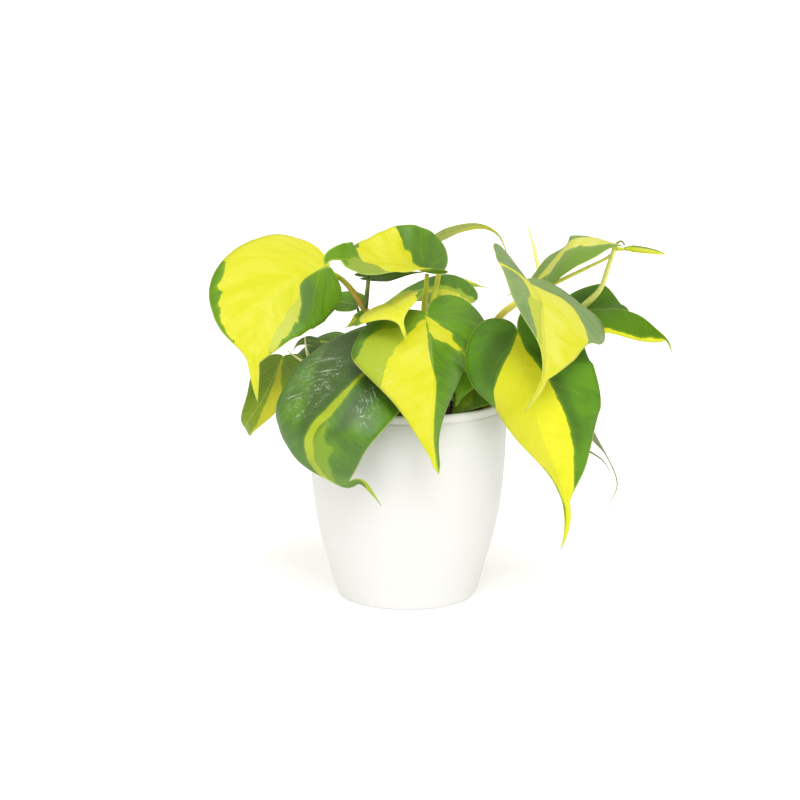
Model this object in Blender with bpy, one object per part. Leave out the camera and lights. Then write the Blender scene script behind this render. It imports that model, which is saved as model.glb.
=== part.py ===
# Trailing house plant with heart-shaped leaves, in a plain white glazed pot filled with soil.
# The model is in metres, +Z up, with its origin at the centre of the pot's foot, on the ground.
# The sizes below are in millimetres. The viewer looks along +Y, so a smaller Y lies nearer.

import math

import bmesh
import bpy
import numpy as np

MM = 0.001
GAP = 0.3

# Pot and soil
POT_HEIGHT = 123.0
POT_WALL = 2.4
POT_FLOOR = 4.0
POT_SIDES = 48
RIM_RADIUS = 58.9
LIP_DROP = 5.2
LIP_STEP = 0.35
SOIL_TOP = 112.0
SOIL_RIM_DROP = 1.0

# Outer side of the pot from the foot to the lip, as radius and height
POT_OUTSIDE = [(38, 0), (42, 1.5), (44.3, 6), (48.1, 20), (54, 42), (57.6, 64), (59.4, 86), (60, 104)]

# Stems
HOLE_DEPTH = 8.0
STEM_SIDES = 8
STALK_SIDES = 6
BLADE_THICKNESS = 0.8

# Leaves. midrib runs from the stalk to the tip. facing is what the upper face looks at, as one
# direction or as several that are spread along the midrib. half_width, fold and curl hold the left
# hand's half and the right hand's half, seen along the midrib with the upper face up. fold lifts
# a half at the midrib and curl bends it on towards its margin, both in degrees. lobe is the length
# of the lobes behind the stalk, tail how soon the margin runs in, drip the length of the narrow
# tip and thin its width, all as shares.
leaves = {
    "leaf_top_left": dict(
        midrib=[(-49, -12, 203), (-65, -22, 199), (-80, -31, 189), (-88, -39, 174), (-90, -46, 159),
            (-89, -50, 144), (-88, -49, 128.5)], facing=[(-0.1, -0.75, 0.6), (-0.1, -0.95, 0.2)],
        half_width=(31, 44), fold=((-20, 0), (-8, 0)), curl=((-10, 0), (-15, 0)), lobe=(0.1, 0.15),
        tail=(1.0, 2.0), drip=0.22, thin=0.09, full=(3.2, 3), colour=(0.62, 0.62, 0.04)),
    "leaf_top_middle": dict(
        midrib=[(11, -22, 202), (4, -30, 205.5), (-5, -38, 208.5), (-16, -46, 211), (-26, -53, 212.5),
            (-34, -57, 214), (-40, -60, 215), (-45, -61, 214.5), (-48.5, -61, 211)],
        facing=(0.1, -0.15, 1), half_width=(22, 27),
        fold=((15, 14, 2, -14, -20), (65, 58, 44, 30, 18, 14, 35, 62, 75)), curl=((0,), (10,)),
        lobe=(0.0, 1.3), tail=(0.35, 0.95), drip=0.14, thin=(0.06, 0.32), colour=(0.3, 0.36, 0.05)),
    "leaf_edge_on_left": dict(
        midrib=[(-24, -8, 197), (-14, -12, 198), (-2, -14, 200), (11, -12, 201)],
        facing=(0, 0.42, 0.9), half_width=(11, 11), colour=(0.04, 0.1, 0.03)),
    "leaf_behind_top_left": dict(
        midrib=[(-31, -3, 179), (-40, 2, 180), (-53, 6, 180), (-64, 6, 177)], facing=(0.1, -0.5, 0.9),
        half_width=(10, 13), lobe=0.2, colour=(0.12, 0.24, 0.05)),
    "leaf_big_dark_left": dict(
        midrib=[(-13, -46, 156), (-33, -70, 143), (-48, -86, 122), (-48, -86, 107), (-43, -81, 95),
            (-36, -74, 86), (-26, -68, 86), (-15, -66, 71)],
        facing=[(-0.1, -0.4, 0.9), (-0.2, -0.55, 0.8), (-0.45, -0.8, 0.2), (-0.35, -0.85, -0.4),
            (-0.5, -0.8, -0.2)], half_width=(31.5, 53), fold=((-20, -4, 3), (3, 0, 5)),
        curl=((-20, -30), (-25, -40, -50, -50)), tail=(1.6, 1.8), drip=0.22, thin=0.07, full=(4, 2.5),
        colour=(0.04, 0.1, 0.03)),
    "leaf_small_yellow": dict(
        midrib=[(-10, -44, 187), (-7, -62, 187), (-4, -76, 181), (-1, -80, 171)],
        facing=(-0.35, -0.25, 0.9), half_width=(19, 26), fold=((12, 0), (12, 0)),
        curl=((-20, -20), (-30, -30)), lobe=0.4, tail=1.8, drip=0.2, colour=(0.62, 0.62, 0.04)),
    "leaf_back_tip": dict(
        midrib=[(13, 40, 178), (26, 44, 184), (38, 42, 185), (49, 36, 184)], facing=(0, -0.25, 1),
        half_width=(16, 20), tail=1.3, drip=0.15, colour=(0.3, 0.36, 0.05)),
    "leaf_upper_back": dict(
        midrib=[(30, 4, 180), (16, 10, 185), (2, 14, 182), (-13, 14, 177), (-22, 12, 173)],
        facing=(0, -0.2, 1), half_width=(18, 20), fold=((0,), (18, 15)), lobe=0.7, tail=1.3, drip=0.12,
        colour=(0.3, 0.36, 0.05)),
    "leaf_front_centre": dict(
        midrib=[(11, -52, 182), (13, -75, 168), (15, -85, 144), (15, -87, 118), (18, -85, 95)],
        facing=(-0.1, -0.9, 0.45), half_width=(45, 49), fold=((-12, -50, -60, -60), (5,)),
        curl=((-45, -20), (-25, -20)), lobe=(1.0, 0.4), tail=(2.1, 1.6), colour=(0.3, 0.36, 0.05)),
    "leaf_long_right": dict(
        midrib=[(63, -61, 173), (66, -80, 155), (75, -90, 122), (87, -90, 93), (92, -86, 69),
            (89, -81, 48)], facing=(0.05, -0.9, 0.4), half_width=(44, 35),
        fold=((5, 0), (2, -44, -58, 0)), curl=((-40, -20), (-26, -40)), lobe=(0.8, 0.4),
        tail=(1.5, 1.4), drip=0.23, full=(3, 1.4), colour=(0.3, 0.36, 0.05)),
    "leaf_edge_on_top": dict(
        midrib=[(15, 30, 214), (28, 26, 221), (43, 22, 224), (54, 18, 219), (60, 16, 207)],
        facing=[(0, 0.27, 1), (0.5, 0.27, 0.5)], half_width=(10, 10), colour=(0.3, 0.36, 0.05)),
    "leaf_folded_right": dict(
        midrib=[(68, -66, 203), (75, -81, 195), (76, -93, 181), (77, -99, 166), (74, -99, 150),
            (66, -97, 134)], facing=(0.35, -0.7, 0.6), half_width=(54, 38),
        fold=((-15, 0), (40, 40, 55, 50)), curl=((-20, -30), (0,)), lobe=(0.5, 1.2), tail=(0.8, 1.2),
        drip=0.25, colour=(0.3, 0.36, 0.05)),
    "leaf_top_right": dict(
        midrib=[(119.5, -27, 221), (108, -31, 224.5), (96, -34, 223), (88.5, -32, 215),
            (82, -26, 205.5), (72.5, -16, 194), (57, -8, 185.5)],
        facing=[(-0.1, -0.2, 1), (-0.12, -0.3, 1), (-0.25, -0.6, 0.7), (-0.3, -0.7, 0.5)],
        half_width=(22, 18), fold=((10, -15, -5, 0), (-15, -15, 0, 10)), lobe=0.0, tail=(0.6, 0.5),
        drip=0.2, colour=(0.3, 0.36, 0.05)),
    "leaf_far_right": dict(
        midrib=[(105, -17, 179), (115, -24, 181), (125, -30, 182), (136, -34, 179), (146, -33, 171),
            (153, -31, 164), (156, -29, 156)], facing=(0, -0.6, 0.8), half_width=(26, 27),
        fold=((5, -30, -55, -60, -60, -60, -60), (20, 12, -8, -5)), curl=((-10, -10), (-10, 0)),
        lobe=(1.5, 0.3), tail=(2.0, 0.8), drip=0.15, colour=(0.04, 0.1, 0.03)),
    "leaf_low_left": dict(
        midrib=[(-76, -3, 146), (-81, -15, 136), (-87, -22, 124), (-95, -22, 112), (-97, -16, 105),
            (-92, -3, 106)],
        facing=[(-0.15, -0.55, 0.8), (-0.2, -0.6, 0.7), (-0.4, -0.8, 0.4), (-0.8, -0.4, -0.5),
            (-0.7, 0.3, -0.7)], half_width=(19, 16), fold=((12,), (-10, 0)), lobe=0.2, tail=1.0,
        drip=0.1, colour=(0.3, 0.36, 0.05)),
    "leaf_small_left": dict(
        midrib=[(-54, 4, 155), (-60, 2, 156), (-66, 0, 155), (-70, 0, 150)], facing=(0, -0.3, 0.9),
        half_width=(7, 7), lobe=0.3, colour=(0.04, 0.1, 0.03)),
    "leaf_hanging_right": dict(
        midrib=[(103, 20, 120), (113, 24, 97), (123, 24, 82), (130, 18, 65), (124, 12, 51)],
        facing=(0.9, 0, 0.4), half_width=(20, 20), lobe=0.3, tail=2.0, drip=0.35,
        colour=(0.12, 0.24, 0.05)),
    "leaf_hanging_thin": dict(
        midrib=[(92, -10, 117), (101, -9, 100), (108, -7, 92.5), (114.5, -5, 88), (119.5, -4, 84),
            (124, -4, 76.5)], facing=(0.5, -0.2, 0.9), half_width=(18, 18), lobe=0.3, tail=2.0,
        drip=0.4, thin=0.08, colour=(0.04, 0.1, 0.03)),
    "leaf_inner_upper": dict(
        midrib=[(40, -20, 156), (37, -34, 148), (32, -43, 137), (28, -46, 126)],
        facing=(0.2, -0.8, 0.5), half_width=(18, 20), colour=(0.12, 0.24, 0.05)),
    "leaf_inner_lower": dict(
        midrib=[(42, -19, 133), (40, -30, 135), (34, -39, 129), (25, -43, 117)],
        facing=(0.1, -0.7, 0.7), half_width=(20, 22), lobe=0.5, colour=(0.04, 0.1, 0.03)),
    "leaf_sliver_left": dict(
        midrib=[(-27, -20, 176), (-31, -22, 173), (-35, -22, 170), (-38, -21, 168)],
        facing=(-0.3, -0.8, 0.5), half_width=(4, 4), colour=(0.3, 0.36, 0.05)),
    "leaf_rear_left": dict(
        midrib=[(-28, 44, 146), (-38, 60, 142), (-46, 74, 122), (-48, 78, 100), (-46, 76, 78)],
        facing=(-0.3, 0.8, 0.5), half_width=(24, 26), fold=((6,), (6,)), curl=((-30,), (-30,)),
        colour=(0.12, 0.24, 0.05)),
    "leaf_rear_middle": dict(
        midrib=[(12, 50, 152), (15, 68, 148), (18, 84, 128), (19, 88, 104), (17, 86, 82)],
        facing=(0, 0.8, 0.5), half_width=(30, 32), fold=((6,), (6,)), curl=((-30,), (-30,)),
        colour=(0.3, 0.36, 0.05)),
    "leaf_rear_right": dict(
        midrib=[(50, 40, 150), (64, 48, 146), (76, 58, 130), (82, 62, 110), (82, 60, 92)],
        facing=(0.6, 0.6, 0.5), half_width=(24, 22), fold=((6,), (6,)), curl=((-30,), (-30,)),
        colour=(0.12, 0.24, 0.05)),
    "leaf_rear_far_left": dict(
        midrib=[(-46, 20, 152), (-60, 27, 150), (-71, 34, 136), (-74, 38, 118)],
        facing=(-0.8, 0.2, 0.5), half_width=(22, 20), fold=((6,), (6,)), curl=((-30,), (-30,)),
        lobe=0.5, colour=(0.04, 0.1, 0.03)),
}

# Stems and stalks. Each path is a smooth curve, and radius is spread along it. A path with a leaf
# ends at that leaf's blade, GAP below it, or above it where over is set.
stems = {
    "stem_left": [
        dict(path=[(-14, 4, 104), (-14, 4, 114), (-18, 3, 145), (-26, -10, 177)], radius=[2.2, 1.8],
             node=2.5),
        dict(path=[(-26, -10, 177), (-32, -7, 186), (-40, -6, 195)], radius=[2, 1.4],
             leaf="leaf_top_left"),
        dict(path=[(-26, -10, 177), (-25, -10, 186)], radius=[1.6, 1.2], leaf="leaf_edge_on_left"),
        dict(path=[(-26, -10, 177), (-20, -20, 177), (-14, -34, 181)], radius=[1.5, 1.1],
             leaf="leaf_small_yellow"),
        dict(path=[(-26, -10, 177), (-28, -7, 174), (-30, -4, 175)], radius=[1.4, 0.8],
             leaf="leaf_behind_top_left"),
        dict(path=[(-26, -10, 177), (-26, -14, 174)], radius=[1, 0.7], leaf="leaf_sliver_left"),
    ],
    "stem_middle": [
        dict(path=[(14, 4, 104), (14, 4, 114), (14, -4, 142), (12, -18, 168)], radius=[2.2, 1.8],
             node=2.5),
        dict(path=[(12, -18, 168), (9, -24, 179), (10, -24, 192)], radius=[1.7, 1.3],
             leaf="leaf_top_middle"),
        dict(path=[(12, -18, 168), (14, -12, 180), (18, 8, 198), (16, 24, 208)], radius=[1.8, 1.3],
             leaf="leaf_edge_on_top"),
        dict(path=[(12, -18, 168), (12, -30, 168), (12, -42, 174)], radius=[1.6, 1.2],
             leaf="leaf_front_centre"),
        dict(path=[(14, -3, 140), (22, 0, 160)], radius=[1.5, 1.1], leaf="leaf_upper_back"),
    ],
    "stem_front_left": [
        dict(path=[(-4, -22, 104), (-4, -22, 114), (-6, -30, 138)], radius=[2, 1.4],
             leaf="leaf_big_dark_left"),
    ],
    "stem_low_left": [
        dict(path=[(-36, -2, 104), (-36, -2, 114), (-43, -4, 134), (-60, -8, 146)], radius=[2, 1.5],
             node=2),
        dict(path=[(-60, -8, 146), (-66, -2, 142), (-73, 0, 142)], radius=[1.4, 1.1],
             leaf="leaf_low_left"),
        dict(path=[(-47, -5, 139), (-50, 0, 145), (-52, 3, 149)], radius=[1.2, 0.9],
             leaf="leaf_small_left"),
        dict(path=[(-59, -8, 145), (-61, -11, 153), (-62, -12, 161)], radius=[1.2, 0.4]),
        dict(path=[(-58, -8, 144), (-63, -16, 147), (-72, -20, 154)], radius=[1.2, 0.4]),
    ],
    "stem_right": [
        dict(path=[(48, 8, 104), (48, 8, 114), (50, 4, 140), (50, -4, 160), (54, -9, 173),
             (66, -14, 184), (81, -17, 192.5), (93, -19, 199), (107, -22, 206.5), (116, -24, 211.5),
             (121, -26, 216)], radius=[2.6, 2.4, 2.2, 1.2, 0.9]),
        dict(path=[(67, -14, 184), (68, -24, 182), (66, -40, 176)], radius=[1.4, 1.1],
             leaf="leaf_long_right"),
        dict(path=[(67, -14, 184.5), (67, -33, 190), (68, -52, 197)], radius=[1.5, 1.1],
             leaf="leaf_folded_right"),
        dict(path=[(120.5, -26, 217.5), (117.5, -26, 208), (112.8, -24, 193)], radius=[1.3, 1.5, 2.1],
             leaf="leaf_far_right", over=True),
        dict(path=[(120.5, -26, 217.5), (126, -27, 217.5)], radius=[1.2, 1]),
        dict(path=[(120.5, -26, 217.5)], radius=[1.3, 1.1], leaf="leaf_top_right"),
        dict(path=[(120.6, -26, 218), (122.5, -24.5, 221), (125, -24, 221.7), (126.5, -25, 219.5)],
             radius=[0.9, 0.5]),
        dict(path=[(79, -16, 192), (78, -6, 199), (75, -1, 213), (71, 1, 226)], radius=[1.3, 1.2, 0.4]),
    ],
    "stem_hanging_right": [
        dict(path=[(40, 20, 104), (40, 20, 114), (50, 18, 134), (66, 14, 147), (84, 16, 146),
             (94, 19, 134)], radius=[2, 1.7, 1.2], leaf="leaf_hanging_right"),
        dict(path=[(66, 14, 147), (77, 4, 141), (85, -5, 126)], radius=[1.4, 1.1],
             leaf="leaf_hanging_thin"),
    ],
    "stem_rear_middle": [
        dict(path=[(2, 24, 104), (2, 24, 114), (4, 30, 140), (6, 40, 150)], radius=[2, 1.3],
             leaf="leaf_rear_middle"),
        dict(path=[(4, 32, 143), (8, 36, 160)], radius=[1.5, 1.1], leaf="leaf_back_tip"),
    ],
    "stem_rear_left": [
        dict(path=[(-22, 20, 104), (-22, 20, 114), (-24, 30, 138)], radius=[2, 1.3],
             leaf="leaf_rear_left"),
        dict(path=[(-23, 26, 131), (-34, 22, 143)], radius=[1.4, 1.1], leaf="leaf_rear_far_left"),
    ],
    "stem_rear_right": [
        dict(path=[(24, 30, 104), (24, 30, 114), (34, 36, 138)], radius=[1.9, 1.2],
             leaf="leaf_rear_right"),
    ],
    "stem_inner_right": [
        dict(path=[(30, -8, 104), (30, -8, 114), (34, -10, 135)], radius=[1.7, 1.2],
             leaf="leaf_inner_upper"),
        dict(path=[(31, -9, 120), (36, -9, 127), (41, -14, 130)], radius=[1.3, 1],
             leaf="leaf_inner_lower"),
    ],
    "young_leaf_right": [
        dict(path=[(126.4, -27, 217.7), (130, -27.4, 217.9), (135.2, -29, 217.6), (143.9, -30, 216.4),
             (149.5, -30, 215.2)], radius=[1.2, 2.1, 2, 1.5, 0.5]),
    ],
}


def smooth_path(points, count):
    # Points evenly spaced along a Catmull-Rom curve through the given ones
    given = np.asarray(points, float)
    ends = np.vstack([2 * given[0] - given[1], given, 2 * given[-1] - given[-2]])
    dense = []
    s = np.linspace(0, 1, 17)[:-1, None]
    for a, b, c, d in zip(ends[:-3], ends[1:-2], ends[2:-1], ends[3:]):
        bend = (2 * a - 5 * b + 4 * c - d) * s ** 2 + (3 * b - a - 3 * c + d) * s ** 3
        dense.append(0.5 * (2 * b + (c - a) * s + bend))
    dense = np.vstack(dense + [given[-1:]])
    run = np.r_[0, np.cumsum(np.linalg.norm(np.diff(dense, axis=0), axis=1))]
    at = np.linspace(0, run[-1], count)
    return np.stack([np.interp(at, run, dense[:, k]) for k in range(3)], -1), run[-1]


def along(values, at):
    # Values spread evenly over 0..1 and read at the given places, eased between neighbours
    v = np.atleast_1d(np.asarray(values, float))
    if len(v) == 1:
        return np.full(np.shape(at), v[0])
    x = np.clip(at, 0, 1) * (len(v) - 1)
    k = np.minimum(x.astype(int), len(v) - 2)
    f = x - k
    f = f * f * (3 - 2 * f)
    return v[k] * (1 - f) + v[k + 1] * f


def unit(v):
    return v / np.linalg.norm(v, axis=-1, keepdims=True)


def half_outline(lobe, tail, drip, thin, full, rows):
    # One side of a heart with its midrib from 0 to 1 and its widest place at 1: the lobe's two
    # quarter arcs, the side that runs in, and the narrow tip
    q = np.linspace(0, np.pi / 2, 24)
    g = np.linspace(0, 1, 60)
    x = np.r_[-0.02 - 0.18 * lobe * np.sin(q), 0.22 - (0.24 + 0.18 * lobe) * np.cos(q[1:]),
              0.22 + (0.78 - drip) * g[1:], 1 - drip * (1 - g[1:])]
    y = np.r_[0.40 * (1 - np.cos(q)), 0.40 + 0.60 * np.sin(q[1:]),
              (1 - g[1:] ** full) ** tail * (1 - thin) + thin, thin * (1 - g[1:] ** 1.5)]
    run = np.r_[0, np.cumsum(np.hypot(np.diff(x), 0.45 * np.diff(y)))]
    at = np.linspace(0, run[-1], rows + 1)
    return np.interp(at, run, x), np.interp(at, run, y), at / run[-1]


def pair(value, side):
    # A value given for both halves at once, or one for each
    return value[side] if isinstance(value, tuple) else value


def frames(leaf, count=81):
    # Points along the midrib with the directions ahead, to the left hand and up out of the face
    mid, length = smooth_path(leaf["midrib"], count)
    ahead = unit(np.gradient(mid, axis=0))
    s = np.linspace(0, 1, count)
    face = np.atleast_2d(np.asarray(leaf["facing"], float))
    up = np.stack([along(face[:, k], s) for k in range(3)], -1)
    up = unit(up - (up * ahead).sum(-1, keepdims=True) * ahead)
    left = np.cross(up, ahead)
    return length, s, mid, ahead, left, up


def half_blade(leaf, side, rows, columns):
    # Grid of points on one half, from the midrib out to the margin along rays that fan out of
    # the stalk's end and then leave the midrib one after another
    length, s, mid, ahead, left, up = frames(leaf)
    sign = 1 - 2 * side
    width = leaf["half_width"][side]
    outlines = [half_outline(pair(leaf.get("lobe", 1.0), k), pair(leaf.get("tail", 1.6), k),
                             leaf.get("drip", 0.06), pair(leaf.get("thin", 0.06), k),
                             pair(leaf.get("full", 1.4), k), rows) for k in (0, 1)]
    x, y, v = outlines[side]
    nearest = np.minimum(outlines[0][0], outlines[1][0])
    root = np.clip((v - 0.4) / 0.6, 0, 1) ** 1.15
    root = np.maximum.accumulate(np.minimum(root, np.maximum(nearest - 0.02, 0)))
    root[-1] = 1.0
    u = np.linspace(0, 1, columns + 1)
    run = root[:, None] + (x - root)[:, None] * u ** 1.25
    reach = y[:, None] * u * width
    fold = np.radians(along(leaf.get("fold", ((0,), (0,)))[side], run))
    curl = np.radians(along(leaf.get("curl", ((0,), (0,)))[side], run)) / width
    curl = np.where(np.abs(curl) < 1e-6, 1e-6, curl)
    out = (np.sin(fold + curl * reach) - np.sin(fold)) / curl
    rise = (np.cos(fold) - np.cos(fold + curl * reach)) / curl
    at = np.clip(run, 0, 1)

    def read(field):
        return np.stack([np.interp(at, s, field[:, c]) for c in range(3)], -1)

    points = read(mid) + read(ahead) * (np.minimum(run, 0) * length)[..., None]
    return points + sign * read(left) * out[..., None] + read(up) * rise[..., None]


def stalk_end(leaf, came_from, radius, over):
    # Where a stalk's end stops, so that its rim stays GAP off the face of the blade
    _, _, mid, _, _, up = frames(leaf)
    side = 1 if over else -1
    lean = unit(mid[0] - np.asarray(came_from, float)) @ up[0]
    folds = [math.radians(f[0]) for f in leaf.get("fold", ((0,), (0,)))]
    dip = max(0.0, *(side * math.sin(f) for f in folds))
    clear = BLADE_THICKNESS / 2 + GAP + 0.1 + radius * (math.sqrt(max(0.0, 1 - lean ** 2)) + dip)
    return mid[0] + side * up[0] * clear


def make_object(name, colour, roughness, mesh):
    material = bpy.data.materials.new(name)
    material.use_nodes = True
    shader = material.node_tree.nodes["Principled BSDF"]
    shader.inputs["Base Color"].default_value = (*colour, 1)
    shader.inputs["Roughness"].default_value = roughness
    shader.inputs["Metallic"].default_value = 0
    mesh.materials.append(material)
    made = bpy.data.objects.new(name, mesh)
    bpy.context.scene.collection.objects.link(made)
    return made


def finished(bm, name):
    bmesh.ops.recalc_face_normals(bm, faces=bm.faces)
    mesh = bpy.data.meshes.new(name)
    bm.to_mesh(mesh)
    bm.free()
    mesh.shade_smooth()
    mesh.set_sharp_from_angle(angle=math.radians(35))
    return mesh


def turned(profile, name):
    # A closed outline of radius and height, spun about the Z axis
    bm = bmesh.new()
    verts = [bm.verts.new((r * MM, 0, z * MM)) for r, z in profile]
    edges = [bm.edges.new((verts[k], verts[k + 1])) for k in range(len(verts) - 1)]
    bmesh.ops.spin(bm, geom=verts + edges, cent=(0, 0, 0), axis=(0, 0, 1),
                   angle=2 * math.pi, steps=POT_SIDES, use_merge=True)
    bmesh.ops.remove_doubles(bm, verts=bm.verts, dist=1e-6)
    return finished(bm, name)


def tube(points, radii, sides, name):
    # Rings of vertices square to a path, joined by quads, with flat ends
    ahead = unit(np.gradient(points, axis=0))
    across = np.array([1.0, 0, 0]) if abs(ahead[0][0]) < 0.9 else np.array([0, 1.0, 0])
    turn = np.arange(sides) * 2 * math.pi / sides
    bm = bmesh.new()
    rings = []
    for point, radius, way in zip(points, radii, ahead):
        across = unit(across - (across @ way) * way)
        other = np.cross(way, across)
        rings.append([bm.verts.new((point + radius * (math.cos(t) * across + math.sin(t) * other)) * MM)
                      for t in turn])
    for low, high in zip(rings, rings[1:]):
        for k in range(sides):
            j = (k + 1) % sides
            bm.faces.new((low[k], low[j], high[j], high[k]))
    bm.faces.new(rings[0][::-1])
    bm.faces.new(rings[-1])
    return finished(bm, name)


def blade(leaf, name):
    # Both halves of a leaf as one sheet of triangles, thickened the same way on both faces
    length = frames(leaf)[0]
    rows = 12 if length > 55 else 8
    columns = 3 if length > 55 and max(leaf["half_width"]) > 15 else 2
    bm = bmesh.new()
    known = {}

    def vertex(point):
        key = tuple(np.round(point, 4))
        if key not in known:
            known[key] = bm.verts.new(point * MM)
        return known[key]

    for side in (0, 1):
        grid = half_blade(leaf, side, rows, columns)
        for i in range(rows):
            for j in range(columns):
                a, b = vertex(grid[i, j]), vertex(grid[i + 1, j])
                c, d = vertex(grid[i + 1, j + 1]), vertex(grid[i, j + 1])
                for corners in ((a, b, c), (a, c, d)):
                    if len(set(corners)) == 3:
                        bm.faces.new(corners if side else corners[::-1])
    made = make_object(name, leaf["colour"], 0.4, finished(bm, name))
    thick = made.modifiers.new("thickness", "SOLIDIFY")
    thick.thickness = BLADE_THICKNESS * MM
    thick.offset = 0
    return made


def remove(object_to_go):
    bpy.data.objects.remove(object_to_go, do_unlink=True)


def joined(name, meshes, colour):
    # One body from meshes that reach into each other
    body = make_object(name, colour, 0.5, meshes[0])
    others = bpy.data.collections.new(name)
    bpy.context.scene.collection.children.link(others)
    for mesh in meshes[1:]:
        others.objects.link(bpy.data.objects.new(name + "_more", mesh))
    if len(meshes) > 1:
        union = body.modifiers.new("union", "BOOLEAN")
        union.operation = "UNION"
        union.operand_type = "COLLECTION"
        union.collection = others
        union.solver = "EXACT"
        graph = bpy.context.evaluated_depsgraph_get()
        whole = bpy.data.meshes.new_from_object(body.evaluated_get(graph))
        body.modifiers.clear()
        body.data = whole
    for other in list(others.objects):
        remove(other)
    bpy.data.collections.remove(others)
    return body


for old in list(bpy.data.objects):
    remove(old)

# Pot: the outside up to the lip, a small step in, the rim, and the inside down to the floor
lip = POT_HEIGHT - LIP_DROP
outside = POT_OUTSIDE + [(59.6, lip - 0.6), (59.6 - LIP_STEP, lip), (RIM_RADIUS + 0.2, POT_HEIGHT - 1.2),
                         (RIM_RADIUS - 0.6, POT_HEIGHT)]
inner = RIM_RADIUS - POT_WALL
wall = [(r, z) for r, z in POT_OUTSIDE if z > 10]
inside = [(inner + 0.5, POT_HEIGHT), (inner, POT_HEIGHT - 0.6), (inner - 0.4, SOIL_TOP)]
inside += [(min(r - 3.8, inner - 0.5), z) for r, z in wall[::-1] if z < SOIL_TOP - 5]
inside += [(40, 8), (36, POT_FLOOR)]
make_object("pot", (0.9, 0.9, 0.87), 0.25,
            turned([(0, 0)] + outside + inside + [(0, POT_FLOOR)], "pot"))

# Soil: fills the pot, GAP off its wall and floor, with a plain hole for each stem
fill = [(r - GAP - 0.1, z) for r, z in inside[2:]]
fill[-1] = (36 - GAP, POT_FLOOR + GAP)
fill = [(0, POT_FLOOR + GAP)] + fill[::-1]
fill[-1] = (inner - 0.5 - GAP, SOIL_TOP - SOIL_RIM_DROP)
fill += [(inner - 9, SOIL_TOP), (0, SOIL_TOP)]
soil = make_object("soil", (0.035, 0.025, 0.02), 0.95, turned(fill, "soil"))
holes = bpy.data.collections.new("holes")
bpy.context.scene.collection.children.link(holes)
for parts in stems.values():
    foot = parts[0]["path"][0]
    if foot[2] > SOIL_TOP:
        continue
    size = parts[0]["radius"][0] + GAP + 0.3
    deep = np.array([(foot[0], foot[1], z) for z in (SOIL_TOP - HOLE_DEPTH - GAP, SOIL_TOP + 3)])
    cut = bpy.data.objects.new("hole", tube(deep, (size, size), STEM_SIDES, "hole"))
    holes.objects.link(cut)
drill = soil.modifiers.new("holes", "BOOLEAN")
drill.operation = "DIFFERENCE"
drill.operand_type = "COLLECTION"
drill.collection = holes
drill.solver = "EXACT"
drilled = bpy.data.meshes.new_from_object(soil.evaluated_get(bpy.context.evaluated_depsgraph_get()))
soil.modifiers.clear()
soil.data = drilled
for cut in list(holes.objects):
    remove(cut)
bpy.data.collections.remove(holes)

# Stems with their stalks
for name, parts in stems.items():
    meshes = []
    for number, part in enumerate(parts):
        path = list(part["path"])
        radius = part["radius"]
        if "leaf" in part:
            path.append(stalk_end(leaves[part["leaf"]], path[-1], radius[-1], part.get("over", False)))
        length = smooth_path(path, 2)[1]
        steps = max(4, int(length / (6 if number == 0 else 5)) + 1)
        points = smooth_path(path, steps)[0]
        if path[0][2] < SOIL_TOP:
            points[points[:, 2] < SOIL_TOP + 4, :2] = path[0][:2]
        radii = along(radius, np.linspace(0, 1, steps))
        meshes.append(tube(points, radii, STEM_SIDES if number == 0 else STALK_SIDES, name))
        if part.get("node"):
            ball = bmesh.new()
            bmesh.ops.create_icosphere(ball, subdivisions=1, radius=part["node"] * MM)
            bmesh.ops.translate(ball, verts=ball.verts, vec=np.asarray(path[-1], float) * MM)
            meshes.append(finished(ball, name))
    joined(name, meshes, (0.35, 0.38, 0.1))

# Leaves
for name, leaf in leaves.items():
    blade(leaf, name)
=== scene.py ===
import bpy
import numpy as np
from mathutils import Matrix


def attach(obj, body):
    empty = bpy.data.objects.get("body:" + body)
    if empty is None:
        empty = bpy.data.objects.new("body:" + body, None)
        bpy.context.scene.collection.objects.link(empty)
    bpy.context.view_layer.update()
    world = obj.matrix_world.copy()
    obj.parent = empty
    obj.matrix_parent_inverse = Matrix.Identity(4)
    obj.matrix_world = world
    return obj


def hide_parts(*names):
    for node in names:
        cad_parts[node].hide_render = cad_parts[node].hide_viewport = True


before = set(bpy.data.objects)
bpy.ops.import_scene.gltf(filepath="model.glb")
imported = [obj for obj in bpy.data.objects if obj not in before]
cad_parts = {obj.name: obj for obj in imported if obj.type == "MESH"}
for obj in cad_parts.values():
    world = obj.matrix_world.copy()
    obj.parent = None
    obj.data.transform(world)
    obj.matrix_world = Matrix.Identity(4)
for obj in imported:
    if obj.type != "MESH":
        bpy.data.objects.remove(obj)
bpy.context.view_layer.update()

mm = 0.001

# How finely the leaves are made, and the relief of their blades
blades = dict(rows=88, columns=15, thickness=0.56, ribRidge=0.45, ribGroove=0.16, ribWidth=0.9,
              quilt=0.09, veins=9, wave=0.25, waves=3)

# Paints that all leaves share. The last is the pale paint of dust specks and of streaks of painted sheen
paints = dict(yellow=(63, 63, 0.4), yellowPale=(68, 66, 4.5), yellowDeep=(54, 57, 0.4),
              lime=(44, 52, 2), edge=(48, 56, 10), bloom=(78, 82, 68))

# What a leaf has unless its own values say otherwise. lobe, tail, drip, thin and full shape the
# outline. A value for each half is a pair, for the left and the right hand. soften evens out a
# half's margin, jag is how far a patch's border runs out along the veins, a name with Show says
# how strongly something shows, and a name with Tint is its paint.
usual = dict(lobe=1.0, tail=1.6, drip=0.06, thin=0.06, full=1.4, fold=((0,), (0,)), curl=((0,), (0,)),
             soften=(0, 0), jag=1.0, gloss=0.3, rough=0.4, veinShow=0.2, ribShow=0.4, faintShow=1.0,
             bloomShow=0.7, rimShow=0.7, under=(30, 42, 3), veinTint=(32, 44, 5), ribTint=(45, 53, 8),
             yellowTint=paints["yellow"], paleTint=paints["yellowPale"], limeTint=paints["lime"])
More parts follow.
